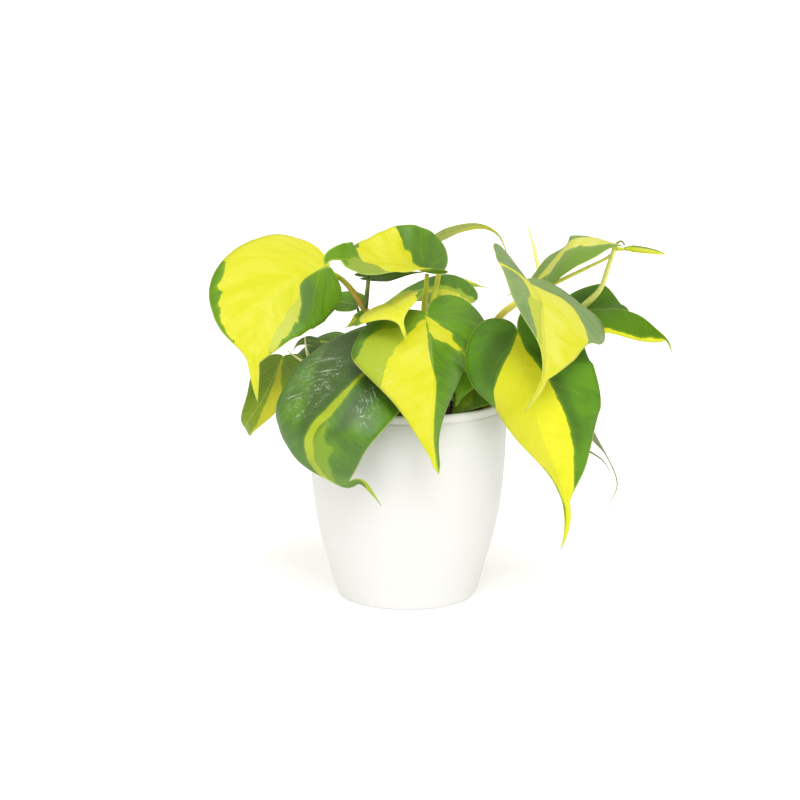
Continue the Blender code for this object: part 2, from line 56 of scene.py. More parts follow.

# Leaves. First the shape: midrib from the stalk to the tip, facing what the upper face looks at,
# and for each half the width, the fold at the midrib and the curl towards the margin in degrees,
# read from the stalk to the tip. Then the pattern: green and deep are the ground and under is the
# back. yellow, lime, the dull green patches, which paint sheen on some leaves and shade on others,
# isle for green over the rest and the dust specks with streaks of painted sheen are patches, each
# an outline of points: percent of the run to the tip, and percent of the half's width, with the
# left hand positive.
leaves = dict(
    leaf_top_left=dict(midrib=[(-49, -12, 203), (-65, -22, 199), (-80, -31, 189), (-88, -39, 174),
          (-90, -46, 159), (-89, -50, 144), (-88, -49, 128.5)],
        facing=[(-0.1, -0.75, 0.6), (-0.1, -0.95, 0.2)], halfWidth=(31, 44), fold=((-20, 0), (-8, 0)),
        curl=((-10, 0), (-15, 0)), lobe=(0.1, 0.15), tail=(1.0, 2.0), drip=0.22, thin=0.09, full=(3.2, 3),
        green=(14, 30, 0.6), deep=(10, 23, 1), under=(30, 40, 3),
        yellow=[[(-40, -4), (2, -2), (12, 6), (20, 14), (25, 31), (31, 37), (40, 44), (52, 42),
          (62, 33), (70, 28), (76, 40), (80, 130), (110, 130), (110, -25), (66, -28), (63, -38),
          (58, -48), (53, -55), (50, -64), (46, -66), (44, -76), (41, -77), (36, -90), (34, -140),
          (-40, -140)]],
        lime=[[(24, 30), (28, 50), (33, 58), (42, 67), (50, 64), (57, 59), (67, 47), (74, 40),
          (70, 20), (60, 25), (40, 35), (30, 30)]], limeTint=(52, 57, 6),
        # the dull patch paints a grey sheen
        grey=[[(12, 10), (20, 16), (26, 36), (31, 56), (42, 72), (34, 80), (22, 66), (12, 42)]],
        greyTint=(10, 19, 4), jag=0.9),
    leaf_top_middle=dict(midrib=[(11, -22, 202), (4, -30, 205.5), (-5, -38, 208.5), (-16, -46, 211),
          (-26, -53, 212.5), (-34, -57, 214), (-40, -60, 215), (-45, -61, 214.5), (-48.5, -61, 211)],
        facing=(0.1, -0.15, 1), halfWidth=(22, 27),
        fold=((15, 14, 2, -14, -20), (65, 58, 44, 30, 18, 14, 35, 62, 75)), curl=((0,), (10,)),
        lobe=(0.0, 1.3), tail=(0.35, 0.95), drip=0.14, thin=(0.06, 0.32), green=(12.5, 27, 1),
        deep=(9, 20, 2), under=(13, 30, 0.5),
        yellow=[[(27, -140), (27, -90), (25, -66), (22, -44), (17, -33), (17, -11), (5, 0), (10, 30),
          (18, 70), (26, 95), (30, 140), (55, 140), (57, 80), (58, 40), (60, 15), (66, 0), (68, -20),
          (66, -40), (61, -60), (54, -80), (52, -140)]],
        lime=[[(50, 20), (48, 110), (58, 110), (66, 78), (75, 60), (82, 40), (80, 10), (74, -10),
          (62, -10)]], limeTint=(27, 37, 3), grey=[[(70, -140), (70, 140), (110, 140), (110, -140)]],
        greyTint=(12, 28, 0.3), jag=1.3),
    leaf_edge_on_left=dict(midrib=[(-24, -8, 197), (-14, -12, 198), (-2, -14, 200), (11, -12, 201)],
        facing=(0, 0.42, 0.9), halfWidth=(11, 11), green=(7, 17, 1), deep=(5, 12, 1), under=(7, 17, 1)),
    leaf_behind_top_left=dict(midrib=[(-31, -3, 179), (-40, 2, 180), (-53, 6, 180), (-64, 6, 177)],
        facing=(0.1, -0.5, 0.9), halfWidth=(10, 13), lobe=0.2, green=(11, 26, 0.6), deep=(8, 19, 0.6),
        lime=[[(45, -140), (50, -20), (70, 30), (110, 60), (110, -140)]]),
    leaf_big_dark_left=dict(midrib=[(-13, -46, 156), (-33, -70, 143), (-48, -86, 122), (-48, -86, 107),
          (-43, -81, 95), (-36, -74, 86), (-26, -68, 86), (-15, -66, 71)],
        facing=[(-0.1, -0.4, 0.9), (-0.2, -0.55, 0.8), (-0.45, -0.8, 0.2), (-0.35, -0.85, -0.4),
          (-0.5, -0.8, -0.2)], halfWidth=(31.5, 53), fold=((-20, -4, 3), (3, 0, 5)),
        curl=((-20, -30), (-25, -40, -50, -50)), tail=(1.1, 1.8), drip=0.22, thin=0.07, full=(4, 2.5),
        green=(10, 23.5, 1.2), deep=(6.5, 15.5, 1.5), under=(14, 29, 1), veinShow=0.04, ribShow=0.1,
        faintShow=0.15, gloss=0.34, rough=0.34, bloomShow=1.0, soften=(60, 0),
        yellow=[[(0, -0.8), (15, -1.5), (25, -1), (32, -4), (41, -9), (48, -16), (52, -20), (57, -23),
          (62, -22), (69, -19), (76, -13), (80, -10), (76, -8), (69, -11), (62, -13), (56, -12),
          (51, -10), (47, -6), (43, -1), (40, 3), (34, 6), (26, 5), (15, 2), (0, 1)], [(83, 5),
          (90, -2), (96, -5), (96, 5), (87, 20)]], yellowTint=(31, 40, 1.2), paleTint=(40, 49, 2),
        lime=[[(44, 5), (50, -6), (56, -10), (62, -11), (70, -9), (74, -6), (69, -3), (62, 0), (60, 4),
          (57, 16), (55, 18), (54, 6), (50, 3)]], limeTint=(20, 33, 1.5),
        grey=[[(-10, -90), (5, -80), (20, -60), (35, -40), (47, -30), (58, -30), (50, -20), (35, -5),
          (20, 0), (-10, 0)], [(8, 2), (30, 15), (42, 20), (50, 15), (45, 40), (30, 55), (12, 40)]],
        greyTint=(5, 10, 2),
        # these patches hold dust specks and pale streaks of painted sheen
        bloom=[[(2, -80), (20, -85), (40, -75), (48, -40), (40, -20), (25, -15), (10, -25)], [(15, 20),
          (20, 60), (35, 80), (42, 60), (35, 30)]], jag=0.6),
    leaf_small_yellow=dict(midrib=[(-10, -44, 187), (-7, -62, 187), (-4, -76, 181), (-1, -80, 171)],
        facing=(-0.35, -0.25, 0.9), halfWidth=(19, 26), fold=((12, 0), (12, 0)),
        curl=((-20, -20), (-30, -30)), lobe=0.4, tail=1.8, drip=0.2, green=(14, 30, 1), deep=(9, 20, 1),
        yellow=[[(-50, -80), (10, -80), (30, -82), (45, -90), (60, -140), (110, -140), (110, 140),
          (60, 140), (45, 75), (30, 72), (18, 80), (5, 100), (-50, 140)]], yellowTint=(72, 72, 2),
        paleTint=(77, 75, 7), jag=1),
    leaf_back_tip=dict(midrib=[(13, 40, 178), (26, 44, 184), (38, 42, 185), (49, 36, 184)],
        facing=(0, -0.25, 1), halfWidth=(16, 20), tail=1.3, drip=0.15, green=(60, 68, 26),
        deep=(50, 60, 20), under=(90, 90, 34), ribShow=0.8, yellowTint=(85, 78, 3), paleTint=(85, 80, 8),
        yellow=[[(40, -60), (55, -140), (110, -140), (110, 140), (55, 140), (40, 60)]],
        isle=[[(30, -15), (60, -30), (85, -30), (85, 10), (60, 10), (30, 15)]], isleTint=(35, 45, 3)),
    leaf_upper_back=dict(midrib=[(30, 4, 180), (16, 10, 185), (2, 14, 182), (-13, 14, 177),
          (-22, 12, 173)], facing=(0, -0.2, 1), halfWidth=(18, 20), fold=((0,), (18, 15)), lobe=0.7,
        tail=1.3, drip=0.12, green=(10, 23, 1.5), deep=(6, 15, 2),
        yellow=[[(-30, -10), (0, -25), (15, -30), (28, -15), (40, -10), (30, 10), (10, 15), (-20, 10)]],
        yellowTint=(50, 56, 5),
        lime=[[(-40, -30), (2, -42), (15, -44), (30, -28), (45, -22), (70, -30), (110, -20),
          (110, 140), (-40, 140)]], limeTint=(30, 42, 4), jag=1.2),
    leaf_front_centre=dict(midrib=[(11, -52, 182), (13, -75, 168), (15, -85, 144), (15, -87, 118),
          (18, -85, 95)], facing=(-0.1, -0.9, 0.45), halfWidth=(45, 49),
        fold=((-12, -50, -60, -60), (5,)), curl=((-45, -20), (-25, -20)), lobe=(1.0, 0.4),
        tail=(2.1, 1.6), green=(12.5, 28.5, 0.8), deep=(9, 20, 2),
        yellow=[[(0, -2), (4, -6), (10, -17), (15, -27), (22, -36), (26, -43), (34, -54), (44, -60),
          (52, -62), (58, -70), (62, -140), (110, -140), (110, 0), (91, -1), (82, -1), (74, 0),
          (66, 0), (56, 2), (48, 4), (41, 0), (35, -2.5), (26, -3.5), (16, -3), (8, -3)], [(2, 0),
          (5, 6), (8, 12), (10, 24), (11, 34), (14, 36), (15.5, 30), (16, 40), (17.5, 55), (18, 66),
          (20, 64), (19.5, 50), (20, 38), (20, 20), (21, 5), (16, 0), (8, -1)]],
        lime=[[(12, -25), (8, -36), (6, -50), (5.5, -63), (8.5, -76), (14, -85), (24, -92), (32, -110),
          (56, -130), (60, -65), (50, -50), (30, -30), (20, -25)]], limeTint=(37, 47, 2.5),
        grey=[[(-10, -4), (4, -6), (14, -20), (14, -60), (6, -68), (-5, -40)]], greyTint=(20, 33, 1.5),
        # this patch paints a white highlight with its streaks
        bloom=[[(38, -63), (39, -47), (50, -44), (58, -56)]], bloomShow=0.95, veinShow=0.1, ribShow=0.1,
        soften=(0, 40), jag=1),
    leaf_long_right=dict(midrib=[(63, -61, 173), (66, -80, 155), (75, -90, 122), (87, -90, 93),
          (92, -86, 69), (89, -81, 48)], facing=(0.05, -0.9, 0.4), halfWidth=(44, 35),
        fold=((5, 0), (2, -44, -58, 0)), curl=((-40, -20), (-26, -40)), lobe=(0.8, 0.4), tail=(1.5, 1.4),
        drip=0.23, full=(3, 1.4), green=(10, 25.5, 0.4), deep=(7, 19, 0.6),
        yellow=[[(0, -1), (5, -8), (10, -17), (16, -40), (20, -55), (23, -67), (28, -80), (31, -90),
          (33, -140), (110, -140), (110, 2), (92, 3), (80, 7), (69, 17), (63, 25), (56, 34), (47, 39),
          (36, 36), (27, 31), (19, 20), (9, 6), (0, 1)]], yellowTint=(69, 69, 0.4), paleTint=(72, 70, 2),
        veinShow=0.07,
        # the dull patches paint shade in the hollow beside the midrib
        grey=[[(-2, -5), (10, -20), (16, -43), (23, -70), (15, -75), (5, -55), (-2, -35)], [(5, 6),
          (19, 22), (36, 38), (50, 42), (60, 38), (50, 55), (30, 50), (10, 30)]], greyTint=(5, 12.5, 0.4),
        isle=[[(60, -29), (69, -14), (78, -5), (92, -2), (78, -1), (69, -10), (61, -25)]],
        isleTint=(20, 33, 1), jag=0.6),
    leaf_edge_on_top=dict(midrib=[(15, 30, 214), (28, 26, 221), (43, 22, 224), (54, 18, 219),
          (60, 16, 207)], facing=[(0, 0.27, 1), (0.5, 0.27, 0.5)], halfWidth=(10, 10), green=(42, 50, 20),
        deep=(30, 40, 10), under=(62, 62, 3),
        yellow=[[(40, 0), (60, -30), (110, -30), (110, 140), (20, 140), (25, 30)]]),
    leaf_folded_right=dict(midrib=[(68, -66, 203), (75, -81, 195), (76, -93, 181), (77, -99, 166),
          (74, -99, 150), (66, -97, 134)], facing=(0.35, -0.7, 0.6), halfWidth=(54, 38),
        fold=((-15, 0), (56, 46, 55, 50)), curl=((-20, -30), (-36, -30, 0, 0)), lobe=(0.5, 1.2),
        # green and deep are greyed: they paint the sheen over this leaf
        tail=(1.05, 1.2), drip=0.25, green=(24, 34, 12), deep=(17, 27, 9), under=(30, 42, 5),
        yellow=[[(0, -3), (3, 8), (7, 20), (10, 35), (18, 47), (26, 57), (36, 62), (48, 62), (55, 80),
          (60, 140), (110, 140), (110, -140), (62, -140), (56, -80), (55, -45), (53, -22), (40, -11),
          (32, -9), (21, -2), (12, -2)], [(12.6, -140), (12.6, -90), (13, -80), (13.7, -65),
          (14.5, -53), (15, -42), (10, -18), (0, -5), (0, 0), (6, 4), (23, -3), (27, -25), (28.5, -42),
          (24, -46), (20, -53), (17.5, -62), (16.2, -75), (15.4, -92), (15.2, -140)]],
        lime=[[(19, -2), (32, -10), (40, -10), (54, -20), (62, -50), (56, -60), (49, -42), (42, -39),
          (36, -46), (31, -50), (26, -38), (20, -20)]], limeTint=(50, 56, 5), yellowTint=(64, 64, 2),
        paleTint=(68, 67, 9), rimShow=0.9, jag=0.6),
    leaf_top_right=dict(midrib=[(119.5, -27, 221), (108, -31, 224.5), (96, -34, 223), (88.5, -32, 215),
          (82, -26, 205.5), (72.5, -16, 194), (57, -8, 185.5)],
        facing=[(-0.1, -0.2, 1), (-0.12, -0.3, 1), (-0.25, -0.6, 0.7), (-0.3, -0.7, 0.5)],
        halfWidth=(22, 16), fold=((10, -15, -5, 0), (-15, -15, 0, 10)), lobe=0.0, tail=(0.6, 0.5),
        # green and deep are greyed: they paint the sheen over this leaf
        drip=0.2, green=(23, 35, 9), deep=(18, 29, 7), under=(25, 38, 5),
        yellow=[[(0, 70), (7, 63), (15, 57), (22, 45), (27, 30), (33, 20), (38, 10), (44, 18),
          (50, 22), (57, 20), (68, 5), (74, -2), (66, -8), (58, -12), (52, -20), (47, -40), (44, -55),
          (38, -50), (33, -30), (28, -30), (20, -20), (10, -10), (0, 5)]], paleTint=(66, 65, 20),
        grey=[[(5, 70), (30, 40), (60, 30), (70, 140), (5, 140)]], greyTint=(17, 31, 3), jag=0.6),
    leaf_far_right=dict(midrib=[(105, -17, 179), (115, -24, 181), (125, -30, 182), (136, -34, 179),
          (146, -33, 171), (153, -31, 164), (156, -29, 156)], facing=(0, -0.6, 0.8), halfWidth=(26, 27),
        fold=((5, -30, -55, -60, -60, -60, -60), (20, 12, -8, -5)), curl=((-10, -10), (-10, 0)),
        lobe=(1.5, 0.3), tail=(2.0, 0.8), drip=0.15, green=(7, 18, 0.2), deep=(5, 14, 0.2),
        under=(12, 28, 1),
        yellow=[[(20, -140), (24, -74), (31, -75), (42, -74), (52, -63), (63, -46), (72, -26),
          (83, -7), (93, -3), (110, -3), (110, -140)]], gloss=0.15,
        # the dull patch paints the right-hand half lighter, as the other half lies in shade
        grey=[[(-30, -2), (110, -2), (110, -140), (-30, -140)]], greyTint=(8.5, 20, 0.3), veinShow=0.08,
        jag=0.4),
    leaf_low_left=dict(midrib=[(-76, -3, 146), (-81, -15, 136), (-87, -22, 124), (-95, -22, 112),
          (-97, -16, 105), (-92, -3, 106)],
        facing=[(-0.15, -0.55, 0.8), (-0.2, -0.6, 0.7), (-0.4, -0.8, 0.4), (-0.8, -0.4, -0.5),
          (-0.7, 0.3, -0.7)], halfWidth=(19, 16), fold=((12,), (-10, 0)), lobe=0.2, tail=1.0, drip=0.1,
        green=(21, 31, 1.2), deep=(15, 25, 1), under=(30, 40, 3), veinTint=(60, 60, 18),
        ribTint=(62, 62, 20), veinShow=0.14, ribShow=0.2,
        yellow=[[(0, -2), (10, 2), (25, 12), (35, 15), (45, 20), (60, 40), (80, 30), (90, 140),
          (55, 140), (45, 80), (35, 60), (25, 36), (12, 14), (0, 4)]], yellowTint=(45, 45, 1),
        paleTint=(55, 54, 3), jag=0.8),
    leaf_small_left=dict(midrib=[(-54, 4, 155), (-60, 2, 156), (-66, 0, 155), (-70, 0, 150)],
        facing=(0, -0.3, 0.9), halfWidth=(7, 7), lobe=0.3, green=(10, 22, 1), deep=(6, 14, 1),
        under=(14, 26, 2)),
    leaf_hanging_right=dict(midrib=[(103, 20, 120), (113, 24, 97), (123, 24, 82), (130, 18, 65),
          (124, 12, 51)], facing=(0.9, -0.09, 0.4), halfWidth=(20, 20), lobe=0.3, tail=2.0, drip=0.35,
        green=(16, 23, 9), deep=(10, 17, 5), under=(12, 20, 4), rimShow=0.15,
        lime=[[(10, 0), (25, 30), (35, 140), (10, 140)]]),
    leaf_hanging_thin=dict(midrib=[(92, -10, 117), (101, -9, 100), (108, -7, 92.5), (114.5, -5, 88),
          (119.5, -4, 84), (124, -4, 76.5)], facing=(0.5, -0.2, 0.9), halfWidth=(18, 18), lobe=0.3,
        tail=2.0, drip=0.4, thin=0.08, green=(9, 15, 3), deep=(6, 11, 2), under=(10, 17, 3), rimShow=0.1),
    leaf_inner_upper=dict(midrib=[(40, -20, 156), (37, -34, 148), (32, -43, 137), (28, -46, 126)],
        facing=(0.2, -0.8, 0.5), halfWidth=(18, 20), green=(13, 30, 0.5), deep=(9, 22, 0.5),
        under=(20, 36, 1), veinShow=0.05, ribShow=0.1, faintShow=0.3, rimShow=0.15),
    leaf_inner_lower=dict(midrib=[(42, -19, 133), (40, -30, 135), (34, -39, 129), (25, -43, 117)],
        facing=(0.1, -0.7, 0.7), halfWidth=(20, 22), lobe=0.5, green=(10, 20, 0.8), deep=(6, 13, 0.8),
        under=(10, 20, 1), veinShow=0.05, ribShow=0.1, faintShow=0.3, rimShow=0.1,
        lime=[[(20, -20), (60, -30), (90, 0), (60, 20)]], limeTint=(17, 27, 1)),
    leaf_sliver_left=dict(midrib=[(-27, -20, 176), (-31, -22, 173), (-35, -22, 170), (-38, -21, 168)],
        facing=(-0.3, -0.8, 0.5), halfWidth=(4, 4), green=(15, 30, 1), deep=(10, 22, 1),
        lime=[[(30, -100), (30, 10), (110, 10), (110, -100)]]),
    leaf_rear_left=dict(midrib=[(-28, 44, 146), (-38, 60, 142), (-46, 74, 122), (-48, 78, 100),
          (-46, 76, 78)], facing=(-0.3, 0.8, 0.5), halfWidth=(24, 26), fold=((6,), (6,)),
        curl=((-30,), (-30,)), green=(11, 26, 1), deep=(6, 16, 1), under=(25, 38, 3),
        yellow=[[(-5, 2), (15, 20), (40, 30), (60, 22), (110, 0), (60, -5), (30, -2)]],
        lime=[[(10, -5), (30, -30), (50, -35), (75, -20), (50, -10), (30, -5)]]),
    leaf_rear_middle=dict(midrib=[(12, 50, 152), (15, 68, 148), (18, 84, 128), (19, 88, 104),
          (17, 86, 82)], facing=(0, 0.8, 0.5), halfWidth=(30, 32), fold=((6,), (6,)),
        curl=((-30,), (-30,)), green=(11, 26, 1), deep=(7, 18, 1), under=(25, 38, 3),
        yellow=[[(-5, -5), (10, -30), (35, -60), (60, -50), (110, 0), (75, 10), (50, 6), (25, 25),
          (10, 10)]], lime=[[(10, -32), (30, -90), (55, -90), (60, -50), (35, -60)]]),
    leaf_rear_right=dict(midrib=[(50, 40, 150), (64, 48, 146), (76, 58, 130), (82, 62, 110),
          (82, 60, 92)], facing=(0.6, 0.6, 0.5), halfWidth=(24, 22), fold=((6,), (6,)),
        curl=((-30,), (-30,)), green=(10, 24, 1), deep=(6, 15, 1), under=(25, 38, 3),
        yellow=[[(-5, 0), (20, 12), (50, 30), (80, 20), (110, 0), (70, 2), (30, -4)]]),
    leaf_rear_far_left=dict(midrib=[(-46, 20, 152), (-60, 27, 150), (-71, 34, 136), (-74, 38, 118)],
        facing=(-0.8, 0.2, 0.5), halfWidth=(22, 20), fold=((6,), (6,)), curl=((-30,), (-30,)), lobe=0.5,
        green=(9, 21, 1), deep=(5, 13, 1), under=(20, 33, 3),
        lime=[[(-5, 0), (20, 10), (50, 15), (80, 8), (110, 0), (60, -4), (30, -5)]]),
)

# Stems and stalks, each a path with its radius, and the tints it passes through. leaf is the
# blade that a stalk ends under, or over, node is the radius of a swollen end, and above is the
# tint of what faces up.
tints = dict(brown=(30, 20, 3), orange=(44, 30, 2), olive=(30, 34, 1.5), grass=(16, 27, 1.2),
             lime=(62, 65, 2), pale=(92, 93, 26), dark=(10, 16, 2), straw=(93, 86, 16),
             cream=(98, 98, 55))
stems = dict(
    stem_left=[
        dict(path=[(-14, 4, 104), (-14, 4, 114), (-18, 3, 145), (-26, -10, 177)], radius=[2.2, 1.8],
            node=2.5, paint=["olive", "grass"]),
        dict(path=[(-26, -10, 177), (-32, -7, 186), (-40, -6, 195)], radius=[2, 1.4],
            leaf="leaf_top_left", paint=["orange", "orange", "olive", "lime"]),
        dict(path=[(-26, -10, 177), (-25, -10, 186)], radius=[1.6, 1.2], leaf="leaf_edge_on_left",
            paint=["dark", "dark"]),
        dict(path=[(-26, -10, 177), (-20, -20, 177), (-14, -34, 181)], radius=[1.5, 1.1],
            leaf="leaf_small_yellow", paint=["orange", "lime"]),
        dict(path=[(-26, -10, 177), (-28, -7, 174), (-30, -4, 175)], radius=[1.4, 0.8],
            leaf="leaf_behind_top_left", paint=["grass", "grass"]),
        dict(path=[(-26, -10, 177), (-26, -14, 174)], radius=[1, 0.7], leaf="leaf_sliver_left",
            paint=["grass", "lime"]),
    ],
    stem_middle=[
        dict(path=[(14, 4, 104), (14, 4, 114), (14, -4, 142), (12, -18, 168)], radius=[2.2, 1.8],
            node=2.5, paint=["olive", "grass"]),
        dict(path=[(12, -18, 168), (9, -24, 179), (10, -24, 192)], radius=[1.7, 1.3],
            leaf="leaf_top_middle", paint=["lime", "lime", "lime"]),
        dict(path=[(12, -18, 168), (14, -12, 180), (18, 8, 198), (16, 24, 208)], radius=[1.8, 1.3],
            leaf="leaf_edge_on_top", paint=["lime", "lime", "lime"]),
        dict(path=[(12, -18, 168), (12, -30, 168), (12, -42, 174)], radius=[1.6, 1.2],
            leaf="leaf_front_centre", paint=["grass", "lime"]),
        dict(path=[(14, -3, 140), (22, 0, 160)], radius=[1.5, 1.1], leaf="leaf_upper_back",
            paint=["grass", "lime"]),
    ],
    stem_front_left=[
        dict(path=[(-4, -22, 104), (-4, -22, 114), (-6, -30, 138)], radius=[2, 1.4],
            leaf="leaf_big_dark_left", paint=["olive", "grass"]),
    ],
    stem_low_left=[
        dict(path=[(-36, -2, 104), (-36, -2, 114), (-43, -4, 134), (-60, -8, 146)], radius=[2, 1.5],
            node=2, paint=["olive", "pale"]),
        dict(path=[(-60, -8, 146), (-66, -2, 142), (-73, 0, 142)], radius=[1.4, 1.1],
            leaf="leaf_low_left", paint=["pale", "lime"]),
        dict(path=[(-47, -5, 139), (-50, 0, 145), (-52, 3, 149)], radius=[1.2, 0.9],
            leaf="leaf_small_left", paint=["grass", "lime"]),
        dict(path=[(-59, -8, 145), (-61, -11, 153), (-62, -12, 161)], radius=[1.2, 0.4],
            paint=["cream", "cream"]),
        dict(path=[(-58, -8, 144), (-63, -16, 147), (-72, -20, 154)], radius=[1.2, 0.4],
            paint=["cream", "cream"]),
    ],
    stem_right=[
        dict(path=[(48, 8, 104), (48, 8, 114), (50, 4, 140), (50, -4, 160), (54, -9, 173),
              (66, -14, 184), (81, -17, 192.5), (93, -19, 199), (107, -22, 206.5), (116, -24, 211.5),
              (121, -26, 216)], radius=[2.6, 2.4, 2.2, 1.2, 0.9],
            paint=["olive", "olive", "orange", "straw", "straw", "pale"]),
        dict(path=[(67, -14, 184), (68, -24, 182), (66, -40, 176)], radius=[1.4, 1.1],
            leaf="leaf_long_right", paint=["lime", "lime"]),
        dict(path=[(67, -14, 184.5), (67, -33, 190), (68, -52, 197)], radius=[1.5, 1.1],
            leaf="leaf_folded_right", paint=["orange", "lime"]),
        dict(path=[(120.5, -26, 217.5), (117.5, -26, 208), (112.8, -24, 193)], radius=[1.3, 1.5, 2.1],
            leaf="leaf_far_right", over=True, paint=["pale", "pale", "pale"]),
        dict(path=[(120.5, -26, 217.5), (126, -27, 217.5)], radius=[1.2, 1], paint=["lime", "lime"]),
        dict(path=[(120.5, -26, 217.5)], radius=[1.3, 1.1], leaf="leaf_top_right",
            paint=["lime", "lime"]),
        dict(path=[(120.6, -26, 218), (122.5, -24.5, 221), (125, -24, 221.7), (126.5, -25, 219.5)],
            radius=[0.9, 0.5], paint=["dark", "dark"]),
        dict(path=[(79, -16, 192), (78, -6, 199), (75, -1, 213), (71, 1, 226)], radius=[1.3, 1.2, 0.4],
            paint=["pale", "pale"]),
    ],
    stem_hanging_right=[
        dict(path=[(40, 20, 104), (40, 20, 114), (50, 18, 134), (66, 14, 147), (84, 16, 146),
              (94, 19, 134)], radius=[2, 1.7, 1.2], leaf="leaf_hanging_right",
            paint=["olive", "grass", "grass"]),
        dict(path=[(66, 14, 147), (77, 4, 141), (85, -5, 126)], radius=[1.4, 1.1],
            leaf="leaf_hanging_thin", paint=["grass", "grass"]),
    ],
    stem_rear_middle=[
        dict(path=[(2, 24, 104), (2, 24, 114), (4, 30, 140), (6, 40, 150)], radius=[2, 1.3],
            leaf="leaf_rear_middle", paint=["olive", "grass"]),
        dict(path=[(4, 32, 143), (8, 36, 160)], radius=[1.5, 1.1], leaf="leaf_back_tip",
            paint=["grass", "lime"]),
    ],
    stem_rear_left=[
        dict(path=[(-22, 20, 104), (-22, 20, 114), (-24, 30, 138)], radius=[2, 1.3],
            leaf="leaf_rear_left", paint=["olive", "grass"]),
        dict(path=[(-23, 26, 131), (-34, 22, 143)], radius=[1.4, 1.1], leaf="leaf_rear_far_left",
            paint=["grass", "grass"]),
    ],
    stem_rear_right=[
        dict(path=[(24, 30, 104), (24, 30, 114), (34, 36, 138)], radius=[1.9, 1.2],
            leaf="leaf_rear_right", paint=["olive", "grass"]),
    ],
    stem_inner_right=[
        dict(path=[(30, -8, 104), (30, -8, 114), (34, -10, 135)], radius=[1.7, 1.2],
            leaf="leaf_inner_upper", paint=["olive", "lime"]),
        dict(path=[(31, -9, 120), (36, -9, 127), (41, -14, 130)], radius=[1.3, 1],
            leaf="leaf_inner_lower", paint=["grass", "grass"]),
    ],
    young_leaf_right=[
        dict(path=[(126.4, -27, 217.7), (130, -27.4, 217.9), (135.2, -29, 217.6), (143.9, -30, 216.4),
              (149.5, -30, 215.2)], radius=[1.2, 2.1, 2, 1.5, 0.5], paint=["lime", "lime"],
            above="grass"),
    ],
)


def smoothPath(points, count):
    # Points evenly spaced along a Catmull-Rom curve through the given ones, and its length
    given = np.asarray(points, float)
    ends = np.vstack([2 * given[0] - given[1], given, 2 * given[-1] - given[-2]])
    s = np.linspace(0, 1, 17)[:-1, None]
    dense = []
    for a, b, c, d in zip(ends[:-3], ends[1:-2], ends[2:-1], ends[3:]):
        bend = (2 * a - 5 * b + 4 * c - d) * s ** 2 + (3 * b - a - 3 * c + d) * s ** 3
        dense.append(0.5 * (2 * b + (c - a) * s + bend))
    dense = np.vstack(dense + [given[-1:]])
    run = np.r_[0, np.cumsum(np.linalg.norm(np.diff(dense, axis=0), axis=1))]
    at = np.linspace(0, run[-1], count)
    return np.stack([np.interp(at, run, dense[:, k]) for k in range(3)], -1), run[-1]


def spread(values, at):
    # Values spread evenly over 0..1 and read at the given places, eased between neighbours
    v = np.atleast_1d(np.asarray(values, float))
    if len(v) == 1:
        return np.full(np.shape(at), v[0])
    x = np.clip(at, 0, 1) * (len(v) - 1)
    k = np.minimum(x.astype(int), len(v) - 2)
    f = x - k
    f = f * f * (3 - 2 * f)
    return v[k] * (1 - f) + v[k + 1] * f


def unit(v):
    # Each direction made one long
    return v / np.maximum(np.linalg.norm(v, axis=-1, keepdims=True), 1e-12)


# Meshes and pieces

def makeMesh(name, points, quads, triangles, fields, colours=None):
    # Points in mm, faces as rows of indices, and fields with one value for each face corner
    mesh = bpy.data.meshes.new(name)
    corners = np.concatenate([quads.ravel(), triangles.ravel()]).astype(np.int32)
    sizes = np.r_[np.full(len(quads), 4), np.full(len(triangles), 3)]
    starts = np.r_[0, np.cumsum(sizes)[:-1]].astype(np.int32)
    mesh.vertices.add(len(points))
    mesh.loops.add(len(corners))
    mesh.polygons.add(len(sizes))
    mesh.vertices.foreach_set("co", (np.asarray(points) * mm).astype(np.float32).ravel())
    mesh.loops.foreach_set("vertex_index", corners)
    mesh.polygons.foreach_set("loop_start", starts)
    mesh.update(calc_edges=True)
    for key, values in fields.items():
        mesh.attributes.new(key, "FLOAT", "CORNER").data.foreach_set("value", values.astype(np.float32))
    if colours is not None:
        layer = mesh.attributes.new("paint", "FLOAT_COLOR", "CORNER")
        layer.data.foreach_set("color", np.c_[colours, np.ones(len(colours))].astype(np.float32).ravel())
    mesh.shade_smooth()
    return mesh


def ringFaces(count, sides, turned=False):
    # Faces between rings of points that follow one another, and a fan that closes each end on a
    # point kept after all the rings. turned is for rings that run the other way round
    index = np.arange(count * sides).reshape(count, sides)
    after = np.roll(index, -1, axis=1)
    quads = np.stack([index[:-1], after[:-1], after[1:], index[1:]], -1).reshape(-1, 4)
    pole = np.full(sides, count * sides)
    fans = np.vstack([np.stack([after[0], index[0], pole], -1),
                      np.stack([index[-1], after[-1], pole + 1], -1)])
    return (quads[:, [0, 3, 2, 1]], fans[:, [1, 0, 2]]) if turned else (quads, fans)


def spun(profile, sides):
    # Points of radius and height taken round Z: (r cos t, r sin t, z)
    radius, height = np.asarray(profile, float).T[:, :, None]
    turn = np.arange(sides) * 2 * np.pi / sides
    return np.stack([radius * np.cos(turn), radius * np.sin(turn), height + 0 * turn], -1).reshape(-1, 3)


def makePiece(name, mesh, node, finish):
    mesh.materials.append(finish)
    piece = bpy.data.objects.new(name, mesh)
    bpy.context.scene.collection.objects.link(piece)
    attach(piece, "root")
    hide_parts(node)
    return piece


def pieceName(node):
    first, *rest = node.split("_")
    return first + "".join(word.capitalize() for word in rest)


# Finishes

